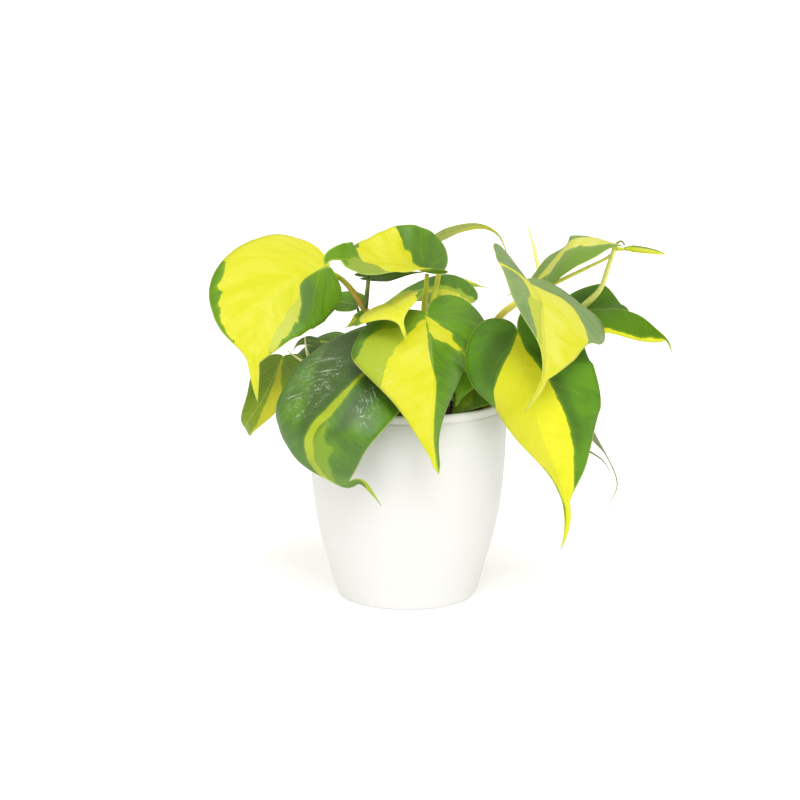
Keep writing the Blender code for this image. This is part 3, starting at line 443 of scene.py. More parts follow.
class Nodes:
    # A node tree. Each way here adds one node and returns what it gives. The figures given to a
    # noise are its scale per metre, detail and roughness
    def __init__(self, tree, shader):
        self.tree = tree
        self.sockets = tree.nodes[shader].inputs

    def add(self, kind, inputs, output=0, **settings):
        made = self.tree.nodes.new("ShaderNode" + kind)
        for key, value in settings.items():
            setattr(made, key, value)
        for key, value in inputs.items():
            if isinstance(value, bpy.types.NodeSocket):
                self.tree.links.new(value, made.inputs[key])
            else:
                made.inputs[key].default_value = value
        return made.outputs[output]

    def feed(self, socket, value):
        self.tree.links.new(value, self.sockets[socket])

    def field(self, name, output="Fac"):
        return self.add("Attribute", {}, output, attribute_name=name)

    def place(self):
        return self.add("TexCoord", {}, "Object")

    def maths(self, operation, a, b=0.0):
        return self.add("Math", {0: a, 1: b}, operation=operation)

    def plus(self, a, b):
        return self.maths("ADD", a, b)

    def times(self, a, b):
        return self.maths("MULTIPLY", a, b)

    def triple(self, x, y, z=0.0):
        return self.add("CombineXYZ", {0: x, 1: y, 2: z})

    def ease(self, value, low, high, start=0.0, end=1.0):
        # eased step from start to end as the value goes from low to high
        ends = {"Value": value, "From Min": low, "From Max": high, "To Min": start, "To Max": end}
        return self.add("MapRange", ends, interpolation_type="SMOOTHSTEP")

    def noise(self, vector, scale, detail=2.0, roughness=0.5):
        looks = {"Vector": vector, "Scale": scale, "Detail": detail, "Roughness": roughness}
        return self.add("TexNoise", looks)

    def mixed(self, share, a, b):
        # two paints, either of them a tuple in percent
        a, b = ((*(part / 100 for part in c), 1) if isinstance(c, tuple) else c for c in (a, b))
        return self.add("Mix", {0: share, 6: a, 7: b}, 2, data_type="RGBA")

    def blended(self, share, a, b):
        # two numbers
        return self.add("Mix", {0: share, 2: a, 3: b}, 0, data_type="FLOAT")

    def raised(self, height, distance, strength=1.0, **under):
        return self.add("Bump", {"Height": height, "Distance": distance, "Strength": strength, **under})


def newFinish(name, values):
    # A material with constant values on its shader's own sockets
    finish = bpy.data.materials.new(name)
    finish.use_nodes = True
    nodes = Nodes(finish.node_tree, "Principled BSDF")
    for key, value in values.items():
        nodes.sockets[key].default_value = value
    return finish, nodes


# Leaves: the outline and the bent halves

def forSide(value, side):
    return value[side] if isinstance(value, tuple) else value


def halfOutline(leaf, side, rows):
    # One side of a heart, its midrib from 0 to 1 and its widest place at 1: the lobe's two quarter
    # arcs, the side that runs in as (1 - g^full)^tail, and the narrow tip
    keys = ("lobe", "tail", "drip", "thin", "full")
    lobe, tail, drip, thin, full = (forSide(leaf[key], side) for key in keys)
    q = np.linspace(0, np.pi / 2, 24)
    g = np.linspace(0, 1, 60)
    x = np.r_[-0.02 - 0.18 * lobe * np.sin(q), 0.22 - (0.24 + 0.18 * lobe) * np.cos(q[1:]),
              0.22 + (0.78 - drip) * g[1:], 1 - drip * (1 - g[1:])]
    y = np.r_[0.40 * (1 - np.cos(q)), 0.40 + 0.60 * np.sin(q[1:]),
              (1 - g[1:] ** full) ** tail * (1 - thin) + thin, thin * (1 - g[1:] ** 1.5)]
    run = np.r_[0, np.cumsum(np.hypot(np.diff(x), 0.45 * np.diff(y)))]
    at = np.linspace(0, run[-1], rows + 1)
    return np.interp(at, run, x), np.interp(at, run, y), at / run[-1]


def ribFrames(leaf, count=121):
    # Points along the midrib with the directions ahead, to the left hand and up out of the face
    mid, length = smoothPath(leaf["midrib"], count)
    ahead = unit(np.gradient(mid, axis=0))
    s = np.linspace(0, 1, count)
    face = np.atleast_2d(np.asarray(leaf["facing"], float))
    up = np.stack([spread(face[:, k], s) for k in range(3)], -1)
    up = unit(up - (up * ahead).sum(-1, keepdims=True) * ahead)
    return length, s, mid, ahead, np.cross(up, ahead), up


def halfBlade(leaf, side, rows, columns):
    # Grid on one half. A ray of the grid leaves the midrib at root(v) and ends on the outline at
    # v: run = root + (x - root) u^1.25 and reach = y u width. The half is bent by fold + curl reach.
    length, s, mid, ahead, left, up = ribFrames(leaf)
    sign = 1 - 2 * side
    width = leaf["halfWidth"][side]
    outlines = [halfOutline(leaf, k, rows) for k in (0, 1)]
    x, y, v = outlines[side]
    nearest = np.minimum(outlines[0][0], outlines[1][0])
    root = np.clip((v - 0.4) / 0.6, 0, 1) ** 1.15
    root = np.maximum.accumulate(np.minimum(root, np.maximum(nearest - 0.02, 0)))
    root[-1] = 1.0
    u = np.linspace(0, 1, columns + 1) ** 1.35
    run = root[:, None] + (x - root)[:, None] * u ** 1.25
    reach = y[:, None] * u * width
    fold = np.radians(spread(leaf["fold"][side], run))
    curl = np.radians(spread(leaf["curl"][side], run)) / width
    curl = np.where(np.abs(curl) < 1e-6, 1e-6, curl)
    sideways = (np.sin(fold + curl * reach) - np.sin(fold)) / curl
    rise = (np.cos(fold) - np.cos(fold + curl * reach)) / curl
    at = np.clip(run, 0, 1)

    def read(values):
        return np.stack([np.interp(at, s, values[:, c]) for c in range(3)], -1)

    points = read(mid) + read(ahead) * (np.minimum(run, 0) * length)[..., None]
    points = points + sign * read(left) * sideways[..., None] + read(up) * rise[..., None]
    hold = 0.5 * u * np.clip((0.8 - run[1:-1]) / 0.12, 0, 1)
    for step in range(leaf["soften"][side]):
        # evens out a pinch where a bent midrib's rays run together, most at the margin
        between = 0.5 * (points[:-2] + points[2:]) - points[1:-1]
        points[1:-1] = points[1:-1] + hold[..., None] * between
    gap = y[:, None] * width * (1 - u)
    ray = np.broadcast_to(v[:, None], run.shape)
    across = np.broadcast_to(u, run.shape)
    plan = np.stack([run * length, sign * reach], -1)
    return dict(points=points, plan=plan, run=run, reach=reach, gap=gap, ray=ray, across=across,
                rooted=root > 0, length=length)


def insideBy(places, outline):
    # How far each place lies inside a closed outline, in mm, and below zero outside it: the
    # smallest distance to a side, its sign from the count of sides crossed
    a = outline
    b = np.roll(outline, -1, axis=0)
    d = b - a
    p = places[:, None, :] - a
    t = np.clip((p * d).sum(-1) / np.maximum((d * d).sum(-1), 1e-9), 0, 1)
    away = np.linalg.norm(p - t[..., None] * d, axis=-1).min(axis=1)
    over = (a[:, 1] > places[:, 1:]) != (b[:, 1] > places[:, 1:])
    slope = d[:, 0] / np.where(np.abs(d[:, 1]) < 1e-9, 1e-9, d[:, 1])
    crossed = over & (places[:, :1] < a[:, 0] + (places[:, 1:] - a[:, 1]) * slope)
    return np.where(crossed.sum(1) % 2 == 1, away, -away)


def patchField(leaf, paint, plan, length):
    # The patches of one paint as one field of depth inside the nearest of them
    depth = np.full(len(plan), -40.0)
    for outline in leaf[paint]:
        shape = np.asarray(outline, float) / 100
        width = np.where(shape[:, 1] > 0, leaf["halfWidth"][0], leaf["halfWidth"][1])
        depth = np.maximum(depth, insideBy(plan, np.stack([shape[:, 0] * length, shape[:, 1] * width], -1)))
    return depth


# Leaves: the pattern

def leafFinish(name, leaf, seed):
    # Ground from deep to bright green in streaks along the veins, patches with borders that run
    # out along the veins, pale margin, midrib and veins, and a paler underside
    finish, nodes = newFinish(name, {"Specular IOR Level": leaf["gloss"], "Subsurface Weight": 0.06,
                                     "Subsurface Scale": 0.002, "Subsurface Radius": (0.6, 1.0, 0.1)})
    plus, times, ease, mixed = nodes.plus, nodes.times, nodes.ease, nodes.mixed
    ray, across, gap, reach, upper = (nodes.field(key) for key in ("ray", "across", "gap", "reach", "upper"))
    where = nodes.place()

    # Streaks: noise that changes quickly from vein to vein and slowly along them, set apart from
    # the other leaves' by the seed
    wide, fine = (nodes.noise(nodes.triple(times(ray, quick), times(across, slow), seed * 7.31), 1.0)
                  for quick, slow in ((24.0, 1.6), (110.0, 5.0)))
    cloud = nodes.noise(where, 38.0, 3.0)
    teeth = times(plus(wide, -0.5), 5.0 * leaf["jag"])
    hairs = times(plus(fine, -0.5), 2.2 * leaf["jag"])
    wander = times(plus(teeth, hairs), ease(reach, 0.5, 8.0, 0.12, 1.0))

    # Veins lie where the ray's share times the count of veins is whole
    line = ease(nodes.maths("PINGPONG", times(ray, float(blades["veins"])), 0.5), 0.0, 0.055, 1.0, 0.0)
    line = times(line, ease(across, 0.05, 0.95, 1.0, 0.0))
    rib = ease(reach, 0.2, 0.75, 1.0, 0.0)

    # Ground, with its dull patches, which paint sheen on some leaves and shade on others, veins and midrib
    ground = mixed(ease(plus(wide, times(cloud, 0.8)), 0.68, 1.15), leaf["deep"], leaf["green"])
    bright = tuple(min(100.0, 1.3 * part + 1) for part in leaf["green"])
    ground = mixed(ease(fine, 0.35, 0.75, 0.0, 0.22), ground, bright)
    if "grey" in leaf:
        dullSheenShadeShare = ease(plus(nodes.field("grey"), wander), -4.0, 4.0, 0.0, 0.85)
        ground = mixed(dullSheenShadeShare, ground, leaf.get("greyTint", leaf["deep"]))
    ground = mixed(times(line, leaf["veinShow"]), ground, leaf["veinTint"])
    ground = mixed(times(rib, leaf["ribShow"]), ground, leaf["ribTint"])

    # Patches, yellow over lime, with a faint halo of mixed tissue outside, and green over both
    yellowish = mixed(ease(plus(wide, cloud), 0.75, 1.3), leaf["yellowTint"], leaf["paleTint"])
    yellowish = mixed(ease(fine, 0.5, 0.8, 0.0, 0.2), yellowish, paints["lime"])
    yellowish = mixed(ease(wide, 0.5, 0.25, 0.0, 0.25), yellowish, paints["yellowDeep"])
    isleTint = leaf.get("isleTint", leaf["green"])
    for paint, colour in (("lime", leaf["limeTint"]), ("yellow", yellowish), ("isle", isleTint)):
        if paint in leaf:
            edge = plus(nodes.field(paint), wander)
            if paint != "isle":
                ground = mixed(ease(edge, -1.8, 0.0, 0.0, 0.22), ground, paints["lime"])
            ground = mixed(ease(edge, -0.25, 0.25), ground, colour)
    faint = times(nodes.maths("MAXIMUM", times(line, 0.07), times(rib, 0.14)), leaf["faintShow"])
    ground = mixed(faint, ground, paints["lime"])
    rim = plus(gap, times(fine, 0.35))
    ground = mixed(ease(rim, 0.35, 0.8, leaf["rimShow"], 0.0), ground, paints["edge"])

    # Dust and dried water marks as fine specks in loose groups, and a few thin pale streaks that paint sheen
    if "bloom" in leaf:
        specks = ease(nodes.noise(where, 1100.0, 3.0, 0.75), 0.53, 0.68)
        groups = ease(nodes.noise(where, 210.0, 3.0, 0.6), 0.42, 0.66)
        marks = nodes.maths("MAXIMUM", times(specks, groups), ease(fine, 0.58, 0.78, 0.0, 0.5))
        marks = times(marks, ease(nodes.field("bloom"), -4.0, 5.0, 0.0, leaf["bloomShow"]))
        ground = mixed(marks, ground, paints["bloom"])

    nodes.feed("Base Color", mixed(upper, mixed(0.55, leaf["under"], ground), ground))
    shine = ease(plus(cloud, fine), 0.6, 1.4, leaf["rough"], leaf["rough"] + 0.16)
    nodes.feed("Roughness", nodes.blended(upper, 0.6, shine))
    grain = nodes.raised(nodes.noise(where, 1400.0), 0.00003)
    nodes.feed("Normal", nodes.raised(plus(times(fine, 0.5), times(line, -0.3)), 0.00018, 0.8, Normal=grain))
    return finish


# Leaves: the blade with its two faces and its rim

def sheetFaces(index):
    # Four-sided faces of a grid and the triangles where two of its corners are one point. Each
    # comes twice: as joined points, and as the grid's own places, which the fields are read from
    own = np.arange(index.size).reshape(index.shape)
    merged, plain = (np.stack([t[:-1, :-1], t[1:, :-1], t[1:, 1:], t[:-1, 1:]], -1).reshape(-1, 4)
                     for t in (index, own))
    twice = merged == np.roll(merged, -1, axis=1)
    whole = ~twice.any(axis=1)
    pinched = np.where(twice.sum(axis=1) == 1)[0]
    keep = np.array([[1, 2, 3], [2, 3, 0], [3, 0, 1], [0, 1, 2]])[twice[pinched].argmax(axis=1)]
    return (merged[whole], plain[whole], np.take_along_axis(merged[pinched], keep, 1),
            np.take_along_axis(plain[pinched], keep, 1))


def pointNormals(points, quads, triangles):
    # The sum of the normals of the faces round each point, made one long
    total = np.zeros_like(points)
    for faces in (quads[:, :3], quads[:, [0, 2, 3]], triangles):
        a, b, c = (points[faces[:, k]] for k in range(3))
        normal = np.cross(b - a, c - a)
        for k in range(3):
            np.add.at(total, faces[:, k], normal)
    return unit(total)


def leafFaces(leaf, points, flat, quads, triangles, seed):
    # The upper and the lower face: low cushions between the veins, a slow wave along the margin,
    # a groove over the midrib and a ridge under it, and a thin margin
    veins = np.abs(np.sin(np.pi * blades["veins"] * flat["ray"])) ** 0.7 - 0.6
    size = min(1.0, max(leaf["halfWidth"]) / 30)
    cushion = blades["quilt"] * size * veins * np.sin(np.pi * flat["across"]) ** 0.7
    wave = np.sin(2 * np.pi * blades["waves"] * flat["ray"] + seed) * flat["across"] ** 2
    wave = blades["wave"] * size * wave
    sheet = points + pointNormals(points, quads, triangles) * (cushion + wave)[:, None]
    up = pointNormals(sheet, quads, triangles)
    rib = np.exp(-(flat["reach"] / blades["ribWidth"]) ** 2) * np.clip(flat["run"] * 12, 0, 1)
    rib = rib * np.clip(1.05 - flat["run"], 0, 1) * size
    thick = 0.5 * blades["thickness"] * (1 - 0.45 * flat["across"] ** 6)
    thick = thick * np.clip(flat["gap"] + 0.5, 0.4, 1)
    return (sheet + up * (thick - blades["ribGroove"] * rib)[:, None],
            sheet - up * (thick + blades["ribRidge"] * rib)[:, None])


def makeLeaf(node, leaf, seed):
    # Both halves as one grid from the right hand's margin to the left hand's, moved out along its
    # normals by half the thickness for each face, and closed along the margin
    rows, columns = blades["rows"], blades["columns"]
    half = [halfBlade(leaf, side, rows, columns) for side in (0, 1)]
    grid = {key: np.concatenate([half[1][key][:, :0:-1], half[0][key]], axis=1)
            for key in ("points", "plan", "run", "reach", "gap", "ray", "across")}
    middle, last = columns, 2 * columns
    index = np.arange((rows + 1) * (last + 1)).reshape(rows + 1, last + 1)
    own = index.copy()
    index[~half[0]["rooted"], middle] = index[0, middle]
    index[0, :middle] = index[0, last:middle:-1]
    index[rows] = index[rows, middle]
    quads, quadsOwn, thirds, thirdsOwn = sheetFaces(index)
    flat = {key: grid[key].ravel() for key in ("run", "reach", "gap", "ray", "across")}
    top, bottom = leafFaces(leaf, grid["points"].reshape(-1, 3), flat, quads, thirds, seed)

    # Points that no face uses are dropped, and the lower face follows the upper one
    used = np.unique(index)
    newIndex = np.full(index.size, -1)
    newIndex[used] = np.arange(len(used))
    margin, marginOwn = (np.vstack([np.stack([t[:-1, last], t[1:, last]], 1),
                                    np.stack([t[1:, 0], t[:-1, 0]], 1)]) for t in (index, own))
    quads, thirds, margin = newIndex[quads], newIndex[thirds], newIndex[margin]
    rim = np.c_[margin, margin[:, ::-1] + len(used)]
    allQuads = np.vstack([quads, quads[:, ::-1] + len(used), rim])
    allThirds = np.vstack([thirds, thirds[:, ::-1] + len(used)])
    rimOwn = np.c_[marginOwn, marginOwn[:, ::-1]]
    corners = (quadsOwn, quadsOwn[:, ::-1], rimOwn, thirdsOwn, thirdsOwn[:, ::-1])
    source = np.concatenate([t.ravel() for t in corners])
    fields = {key: flat[key][source] for key in ("reach", "gap", "ray", "across")}
    fields["upper"] = np.concatenate([np.full(t.size, shown) for t, shown in zip(corners, (1, 0, 1, 1, 0))])
    plan = grid["plan"].reshape(-1, 2)
    for paint in ("yellow", "lime", "grey", "isle", "bloom"):
        if paint in leaf:
            fields[paint] = patchField(leaf, paint, plan, half[0]["length"])[source]
    name = pieceName(node)
    mesh = makeMesh(name, np.vstack([top[used], bottom[used]]), allQuads, allThirds, fields)
    return makePiece(name, mesh, node, leafFinish(name, leaf, seed))


leaves = {node: {**usual, **own} for node, own in leaves.items()}
for number, (node, leaf) in enumerate(leaves.items()):
    makeLeaf(node, leaf, number + 1)
print("leaves made:", len(leaves))


# Stems: how round and how finely divided they are, how far a stalk keeps off its blade, how far
# a stem runs straight above the soil, how far a swollen end reaches, and the paints of fine marks
stalks = dict(sides=16, step=1.6, bladeThickness=0.8, gap=0.3, foot=4, soilTop=112, nodeReach=2.2,
              lines=(20, 28, 2), clouds=(75, 72, 10), dots=(60, 60, 30))


def stalkEnd(leaf, cameFrom, radius, over):
    # Where a stalk's end stops under its blade, or over it
    _, _, mid, _, _, up = ribFrames(leaf)
    side = 1 if over else -1
    lean = unit(mid[0] - np.asarray(cameFrom, float)) @ up[0]
    dip = max(0.0, *(side * np.sin(np.radians(fold[0])) for fold in leaf["fold"]))
    clear = stalks["bladeThickness"] / 2 + stalks["gap"] + 0.1
    clear += radius * (np.sqrt(max(0.0, 1 - lean ** 2)) + dip)
    return mid[0] + side * up[0] * clear


def tubeAlong(points, radii, sides):
    # Rings square to a path, each turned on from the one before, with a point closing each end:
    # ring(t) = point + radius (cos t across + sin t other)
    ahead = unit(np.gradient(points, axis=0))
    across = np.array([1.0, 0, 0]) if abs(ahead[0][0]) < 0.9 else np.array([0, 1.0, 0])
    frames = []
    for way in ahead:
        across = unit(across - (across @ way) * way)
        frames.append(across)
    first = np.array(frames)
    other = np.cross(ahead, first)
    turn = np.arange(sides) * 2 * np.pi / sides
    rings = points[:, None] + radii[:, None, None] * (np.cos(turn)[:, None] * first[:, None]
                                                      + np.sin(turn)[:, None] * other[:, None])
    tips = np.stack([points[0] - ahead[0] * radii[0] * 0.4, points[-1] + ahead[-1] * radii[-1] * 0.4])
    share = np.r_[np.repeat(np.linspace(0, 1, len(points)), sides), 0, 1]
    return np.vstack([rings.reshape(-1, 3), tips]), *ringFaces(len(points), sides), share


def stemFinish():
    # Paint along the stem with fine lengthwise streaks, small pale dots, and a soft gloss
    finish, nodes = newFinish("stemSkin", {"Specular IOR Level": 0.45, "Subsurface Weight": 0.05,
                                           "Subsurface Scale": 0.002})
    base = nodes.field("paint", "Color")
    where = nodes.place()
    around = nodes.times(nodes.field("around"), 14.0)
    lines = nodes.noise(nodes.triple(around, nodes.times(nodes.field("along"), 0.06)), 1.0)
    cloud = nodes.noise(where, 120.0, 3.0)
    dots = nodes.ease(nodes.noise(where, 1500.0, 1.0), 0.66, 0.74, 0.0, 0.25)
    shade = nodes.mixed(nodes.ease(lines, 0.45, 0.8, 0.0, 0.2), base, stalks["lines"])
    shade = nodes.mixed(nodes.ease(cloud, 0.45, 0.7, 0.0, 0.22), shade, stalks["clouds"])
    nodes.feed("Base Color", nodes.mixed(dots, shade, stalks["dots"]))
    nodes.feed("Roughness", nodes.ease(cloud, 0.3, 0.7, 0.35, 0.5))
    nodes.feed("Normal", nodes.raised(nodes.plus(lines, nodes.times(cloud, 0.5)), 0.0002, 0.7))
    return finish


def makeStalk(part, number):
    # One stalk as a closed tube: its points, faces, paint, and its length and turn for the streaks
    path = list(part["path"])
    radius = part["radius"]
    if "leaf" in part:
        path.append(stalkEnd(leaves[part["leaf"]], path[-1], radius[-1], part.get("over", False)))
    length = smoothPath(path, 2)[1]
    steps = max(8, int(length / stalks["step"]))
    line = smoothPath(path, steps)[0]
    if path[0][2] < stalks["soilTop"]:
        line[line[:, 2] < stalks["soilTop"] + stalks["foot"], :2] = path[0][:2]
    share = np.linspace(0, 1, steps)
    radii = spread(radius, share)
    if "node" in part:
        swell = np.exp(-((1 - share) * length / stalks["nodeReach"]) ** 2)
        radii = radii + (part["node"] - radius[-1]) * swell
    tube, quads, fans, at = tubeAlong(line, radii, stalks["sides"])
    tint = np.stack([spread([tints[c][k] for c in part["paint"]], at) for k in range(3)], -1)
    if "above" in part:
        centre = np.vstack([np.repeat(line, stalks["sides"], axis=0), line[:1], line[-1:]])
        lift = np.clip(3 * unit(tube - centre)[:, 2:] - 1, 0, 1)
        tint = tint * (1 - lift) + np.array(tints[part["above"]]) * lift
    turn = np.r_[np.tile(np.linspace(0, 1, stalks["sides"], endpoint=False), steps), 0, 0]
    return tube, quads, fans, tint / 100, at * length, np.abs(turn * 2 - 1) + number


def makeStem(node, parts, finish):
    # Every stalk of the stem, each starting inside the one that bears it
    stalksMade = [makeStalk(part, number) for number, part in enumerate(parts)]
    starts = np.r_[0, np.cumsum([len(made[0]) for made in stalksMade])]
    points, tint, along, around = (np.concatenate([made[k] for made in stalksMade]) for k in (0, 3, 4, 5))
    quads, fans = (np.vstack([made[k] + start for made, start in zip(stalksMade, starts)]) for k in (1, 2))
    source = np.concatenate([quads.ravel(), fans.ravel()])
    name = pieceName(node)
    mesh = makeMesh(name, points, quads, fans, dict(along=along[source], around=around[source]), tint[source])
    return makePiece(name, mesh, node, finish)


skin = stemFinish()
for node, parts in stems.items():
    makeStem(node, parts, skin)
print("stems made:", len(stems))


# Pot: its outline as radius and height, and the rim's as radius and distance from the top. The
# inside keeps wall off the outside between the heights of wallSpan. Then the paints of the glaze,
# the last of them a warm painted shade for the lower edge of the lip
pot = dict(height=123.0, inner=56.5, wall=3.8, lipDrop=5.2, sides=192,
           foot=[(20, 0), (37, 0), (39.5, 0.05), (41, 0.5), (41.7, 1.1)],
           outside=[(42, 1.5), (44.3, 6), (48.1, 20), (54, 42), (57.6, 64), (59.4, 86), (60, 104)],
           rim=[(59.6, -5.8), (59.42, -5.4), (59.22, -5.1), (59.2, -4.4), (59.15, -2.2), (59, -1.2),
                (58.7, -0.5), (58.2, -0.1), (57.7, 0), (57.2, -0.1), (56.8, -0.4), (56.55, -0.9), (56.3, -6)],
           wallSpan=(10, 107), rimEnd=112, hollow=[(40, 8), (38.5, 5)], floor=4.0, floorRings=(36, 18),
           glaze=(77.5, 77, 74.5), glazeShade=(75.5, 75, 72.5), ringShade=(72, 71.5, 68),
           lipShade=(68, 65, 57))


def glazeFinish():
    # White glaze with a soft sheen: very faint clouds and turning rings, a warm band of painted shade
    # along the lower edge of the lip, and shallow ripples
    finish, nodes = newFinish("whiteGlaze", {"Specular IOR Level": 0.35})
    where = nodes.place()
    height = nodes.add("SeparateXYZ", {0: where}, "Z")
    cloud = nodes.noise(where, 9.0, 3.0)
    rings = nodes.noise(nodes.triple(0.0, 0.0, height), 300.0)
    tone = nodes.mixed(nodes.ease(cloud, 0.3, 0.75), pot["glaze"], pot["glazeShade"])
    tone = nodes.mixed(nodes.ease(rings, 0.5, 0.75, 0.0, 0.12), tone, pot["ringShade"])
    # a warm band of painted shade along the lower edge of the lip
    fromLip = nodes.maths("ABSOLUTE", nodes.plus(height, (pot["lipDrop"] - pot["height"]) * mm))
    thin = nodes.ease(fromLip, 0.0002, 0.0011, 0.3, 0.0)
    nodes.feed("Base Color", nodes.mixed(thin, tone, pot["lipShade"]))
    nodes.feed("Roughness", nodes.ease(cloud, 0.3, 0.7, 0.42, 0.5))
    grain = nodes.raised(nodes.noise(where, 700.0), 0.00003, 0.5)
    nodes.feed("Normal", nodes.raised(cloud, 0.0006, 0.3, Normal=grain))
    return finish


def makePot():
    # The profile runs from the middle of the foot up the outside, over the rim and down inside
    side = smoothPath([(r, z, 0) for r, z in pot["outside"]], 46)[0][:, :2]
    rim = np.array(pot["rim"]) + (0, pot["height"])
    low, high = pot["wallSpan"]
    widest = pot["inner"] - 0.5
    inside = [(min(r - pot["wall"], widest), z) for r, z in pot["outside"][::-1] if low < z < high]
    bottom = pot["hollow"] + [(r, pot["floor"]) for r in pot["floorRings"]]
    profile = np.vstack([pot["foot"], side, rim, [(pot["inner"] - 0.4, pot["rimEnd"])], inside, bottom])
    points = np.vstack([spun(profile, pot["sides"]), [(0, 0, 0), (0, 0, pot["floor"])]])
    mesh = makeMesh("glazedPot", points, *ringFaces(len(profile), pot["sides"]), {})
    return makePiece("glazedPot", mesh, "pot", glazeFinish())


makePot()
print("pot made")


# Soil: fills the pot to its top, with low lumps and loose crumbs. lumps are crossed waves, each
# its size, its angle and its share, and lower is the outline under the top
soil = dict(top=112, edge=55.7, rings=60, sides=160, lump=1.1, crumbs=520, crumb=(0.5, 1.7), seed=11,
            lumps=((23, 0.3, 0.5), (13, 1.4, 0.35), (7.1, 2.2, 0.22), (3.9, 0.9, 0.15), (2.1, 1.9, 0.1)),
            lower=[(55.4, 105), (52.8, 64), (49, 42), (39.5, 8.3), (35, 4.4)],
            dark=(1.6, 1.1, 0.8), light=(6, 3.8, 2.2), fleck=(13, 8.5, 5))


def lumps(x, y):
    # Sum of crossed waves at several sizes: sin(u + 1.3 sin v) cos(0.8 v + angle)
    total = np.zeros_like(x)
    for size, angle, share in soil["lumps"]:
        u = (x * np.cos(angle) + y * np.sin(angle)) * 2 * np.pi / size
        v = (y * np.cos(angle) - x * np.sin(angle)) * 2 * np.pi / size
        total += share * np.sin(u + 1.3 * np.sin(v)) * np.cos(v * 0.8 + angle)
    return total


def soilFinish():
    # Nearly black grains with lighter ones and a few pale flecks, rough all over
    finish, nodes = newFinish("pottingSoil", {"Specular IOR Level": 0.25})
    where = nodes.place()
    coarse = nodes.noise(where, 420.0, 4.0, 0.65)
    fine = nodes.noise(where, 2300.0, 3.0, 0.6)
    tone = nodes.mixed(nodes.ease(coarse, 0.35, 0.65), soil["dark"], soil["light"])
    nodes.feed("Base Color", nodes.mixed(nodes.ease(fine, 0.6, 0.75, 0.0, 0.5), tone, soil["fleck"]))
    nodes.feed("Roughness", nodes.ease(fine, 0.3, 0.7, 0.75, 0.95))
    nodes.feed("Normal", nodes.raised(nodes.plus(coarse, nodes.times(fine, 0.4)), 0.0009))
    return finish


def crumbPoints(random, rings=3, sides=6):
    # Crumbs as small balls, each stretched and dented at random and half sunk in the soil
    b = np.linspace(0, np.pi, rings + 2)[1:-1]
    ball = np.vstack([spun(np.stack([np.sin(b), np.cos(b)], -1), sides), [(0, 0, 1), (0, 0, -1)]])
    count = soil["crumbs"]
    far = soil["edge"] * 0.94 * np.sqrt(random.random(count))
    way = random.random(count) * 2 * np.pi
    x, y = far * np.cos(way), far * np.sin(way)
    size = soil["crumb"][0] + (soil["crumb"][1] - soil["crumb"][0]) * random.random(count) ** 2
    stretchBy = 0.6 + 0.8 * random.random((count, 1, 3))
    dents = 1 + 0.35 * (random.random((count, len(ball), 1)) - 0.5)
    z = soil["top"] - 1.2 + lumps(x, y) * soil["lump"] * 0.9
    shape = ball[None] * stretchBy * dents * size[:, None, None] + np.stack([x, y, z], -1)[:, None]
    shape[..., 2] = np.minimum(shape[..., 2], soil["top"] + 0.9)
    return shape, *ringFaces(rings, sides, turned=True)


def makeSoil():
    # The lumpy top as a disc of rings that drops at the rim, a plain side and floor, and crumbs
    turn = np.arange(soil["sides"]) * 2 * np.pi / soil["sides"]
    radius = soil["edge"] * np.linspace(0, 1, soil["rings"] + 1)[1:] ** 0.8
    x, y = radius[:, None] * np.cos(turn), radius[:, None] * np.sin(turn)
    fade = np.clip((soil["edge"] - radius) / 3, 0, 1)[:, None]
    z = soil["top"] - 1.3 + lumps(x, y) * soil["lump"] * (0.2 + 0.8 * fade) - (1 - fade) * 0.6
    z = np.minimum(z, soil["top"] - 0.02)
    middle = [(0, 0, float(z[0].mean())), (0, 0, soil["lower"][-1][1])]
    points = np.vstack([np.stack([x, y, z], -1).reshape(-1, 3), spun(soil["lower"], soil["sides"]), middle])
    quads, fans = ringFaces(len(radius) + len(soil["lower"]), soil["sides"], turned=True)
    crumbs, ballQuads, ballFans = crumbPoints(np.random.default_rng(soil["seed"]))
    offset = (len(points) + np.arange(len(crumbs)) * crumbs.shape[1])[:, None, None]
    quads = np.vstack([quads, (ballQuads[None] + offset).reshape(-1, 4)])
    fans = np.vstack([fans, (ballFans[None] + offset).reshape(-1, 3)])
    mesh = makeMesh("pottingSoil", np.vstack([points, crumbs.reshape(-1, 3)]), quads, fans, {})
    return makePiece("pottingSoil", mesh, "soil", soilFinish())


makeSoil()
print("soil made")


# Studio: white floor, even light all round, one broad light and a weaker one. A light comes from
# the direction that its From gives, and its Spread is in degrees
studio = dict(skyLow=0.45, skyHigh=0.85, skyTint=(1, 0.98, 0.9), lampTint=(0.99, 1, 1.08),
              key=1.6, keyFrom=(0.12, -0.6, 0.95), keySpread=34,
              fill=0.3, fillFrom=(-0.1, -0.8, 0.35), fillSpread=70,
              floorReach=300000, floorGlow=0.28, paperDark=(93, 93, 93), paperLight=(95, 95, 95))


def makeFloor():
    finish, nodes = newFinish("whitePaper", {"Roughness": 0.9, "Specular IOR Level": 0.1,
                                             "Emission Color": (1, 1, 1, 1),
                                             "Emission Strength": studio["floorGlow"]})
    paper = nodes.noise(nodes.place(), 3.0)
    nodes.feed("Base Color", nodes.mixed(paper, studio["paperDark"], studio["paperLight"]))
    corners = np.array([(-1, -1, 0), (1, -1, 0), (1, 1, 0), (-1, 1, 0)]) * studio["floorReach"]
    mesh = makeMesh("paperFloor", corners, np.array([[0, 1, 2, 3]]), np.zeros((0, 3), int), {})
    mesh.materials.append(finish)
    paperFloor = bpy.data.objects.new("paperFloor", mesh)
    bpy.context.scene.collection.objects.link(paperFloor)


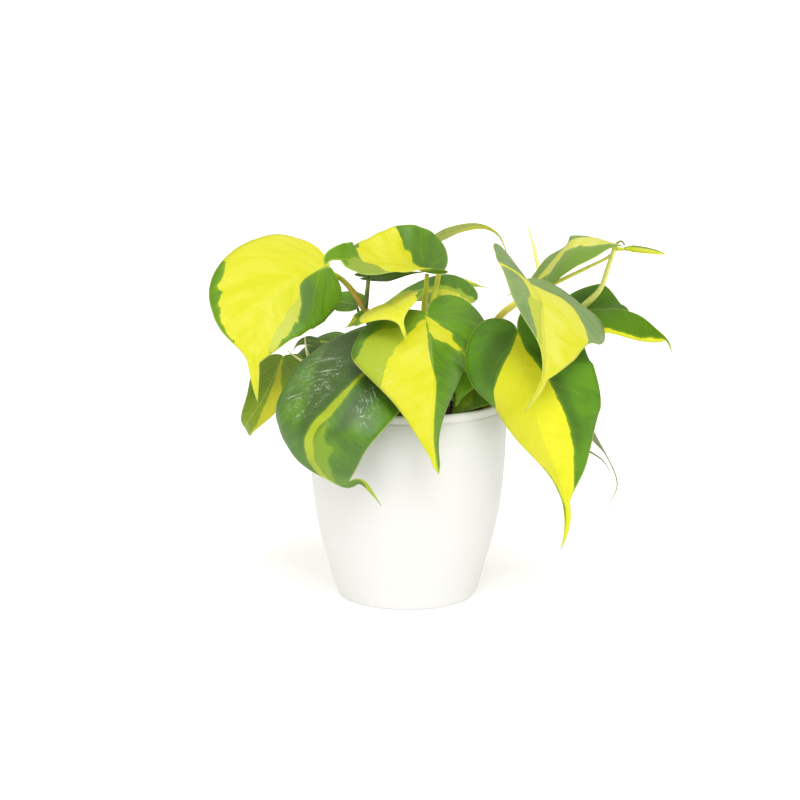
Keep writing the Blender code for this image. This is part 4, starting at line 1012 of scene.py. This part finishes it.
def makeSky():
    # Even light that is stronger from above than from the sides
    world = bpy.data.worlds.new("studioLight")
    bpy.context.scene.world = world
    world.use_nodes = True
    nodes = Nodes(world.node_tree, "Background")
    nodes.sockets["Color"].default_value = (*studio["skyTint"], 1)
    height = nodes.add("SeparateXYZ", {0: nodes.add("TexCoord", {}, "Generated")}, "Z")
    nodes.feed("Strength", nodes.ease(height, -0.1, 0.9, studio["skyLow"], studio["skyHigh"]))


def addSun(name, strength, source, angle):
    lamp = bpy.data.lights.new(name, "SUN")
    lamp.energy = strength
    lamp.color = studio["lampTint"]
    lamp.angle = np.radians(angle)
    shown = bpy.data.objects.new(name, lamp)
    back = unit(np.array(source, float))
    side = unit(np.cross((0, 0, 1), back))
    turned = np.eye(4)
    turned[:3, :3] = np.stack([side, np.cross(back, side), back], 1)
    shown.matrix_world = Matrix(turned.tolist())
    bpy.context.scene.collection.objects.link(shown)


makeFloor()
makeSky()
addSun("broadLight", studio["key"], studio["keyFrom"], studio["keySpread"])
addSun("weakLight", studio["fill"], studio["fillFrom"], studio["fillSpread"])

# Camera: where it stands and looks, in mm, its turn about the line of sight in radians, and its
# focal length and the frame's width in pixels
view = dict(stands=(0, -1360, 405), looksAt=(-4.8, 0, 120.4), roll=0.007, focal=2290, frameWidth=800,
            sensor=36)


def makeCamera():
    stand = np.array(view["stands"], float)
    ahead = unit(np.array(view["looksAt"], float) - stand)
    rightWay = unit(np.cross(ahead, (0, 0, 1)))
    upWay = np.cross(rightWay, ahead)
    c, s = np.cos(view["roll"]), np.sin(view["roll"])
    rightWay, upWay = c * rightWay + s * upWay, c * upWay - s * rightWay
    lens = bpy.data.cameras.new("camera")
    lens.sensor_fit = "HORIZONTAL"
    lens.sensor_width = view["sensor"]
    lens.lens = view["sensor"] * view["focal"] / view["frameWidth"]
    camera = bpy.data.objects.new("camera", lens)
    placed = np.eye(4)
    placed[:3] = np.stack([rightWay, upWay, -ahead, stand * mm], 1)
    camera.matrix_world = Matrix(placed.tolist())
    bpy.context.scene.collection.objects.link(camera)
    return camera


bpy.context.scene.camera = makeCamera()
bpy.context.scene.view_settings.view_transform = "Standard"
print("studio made")
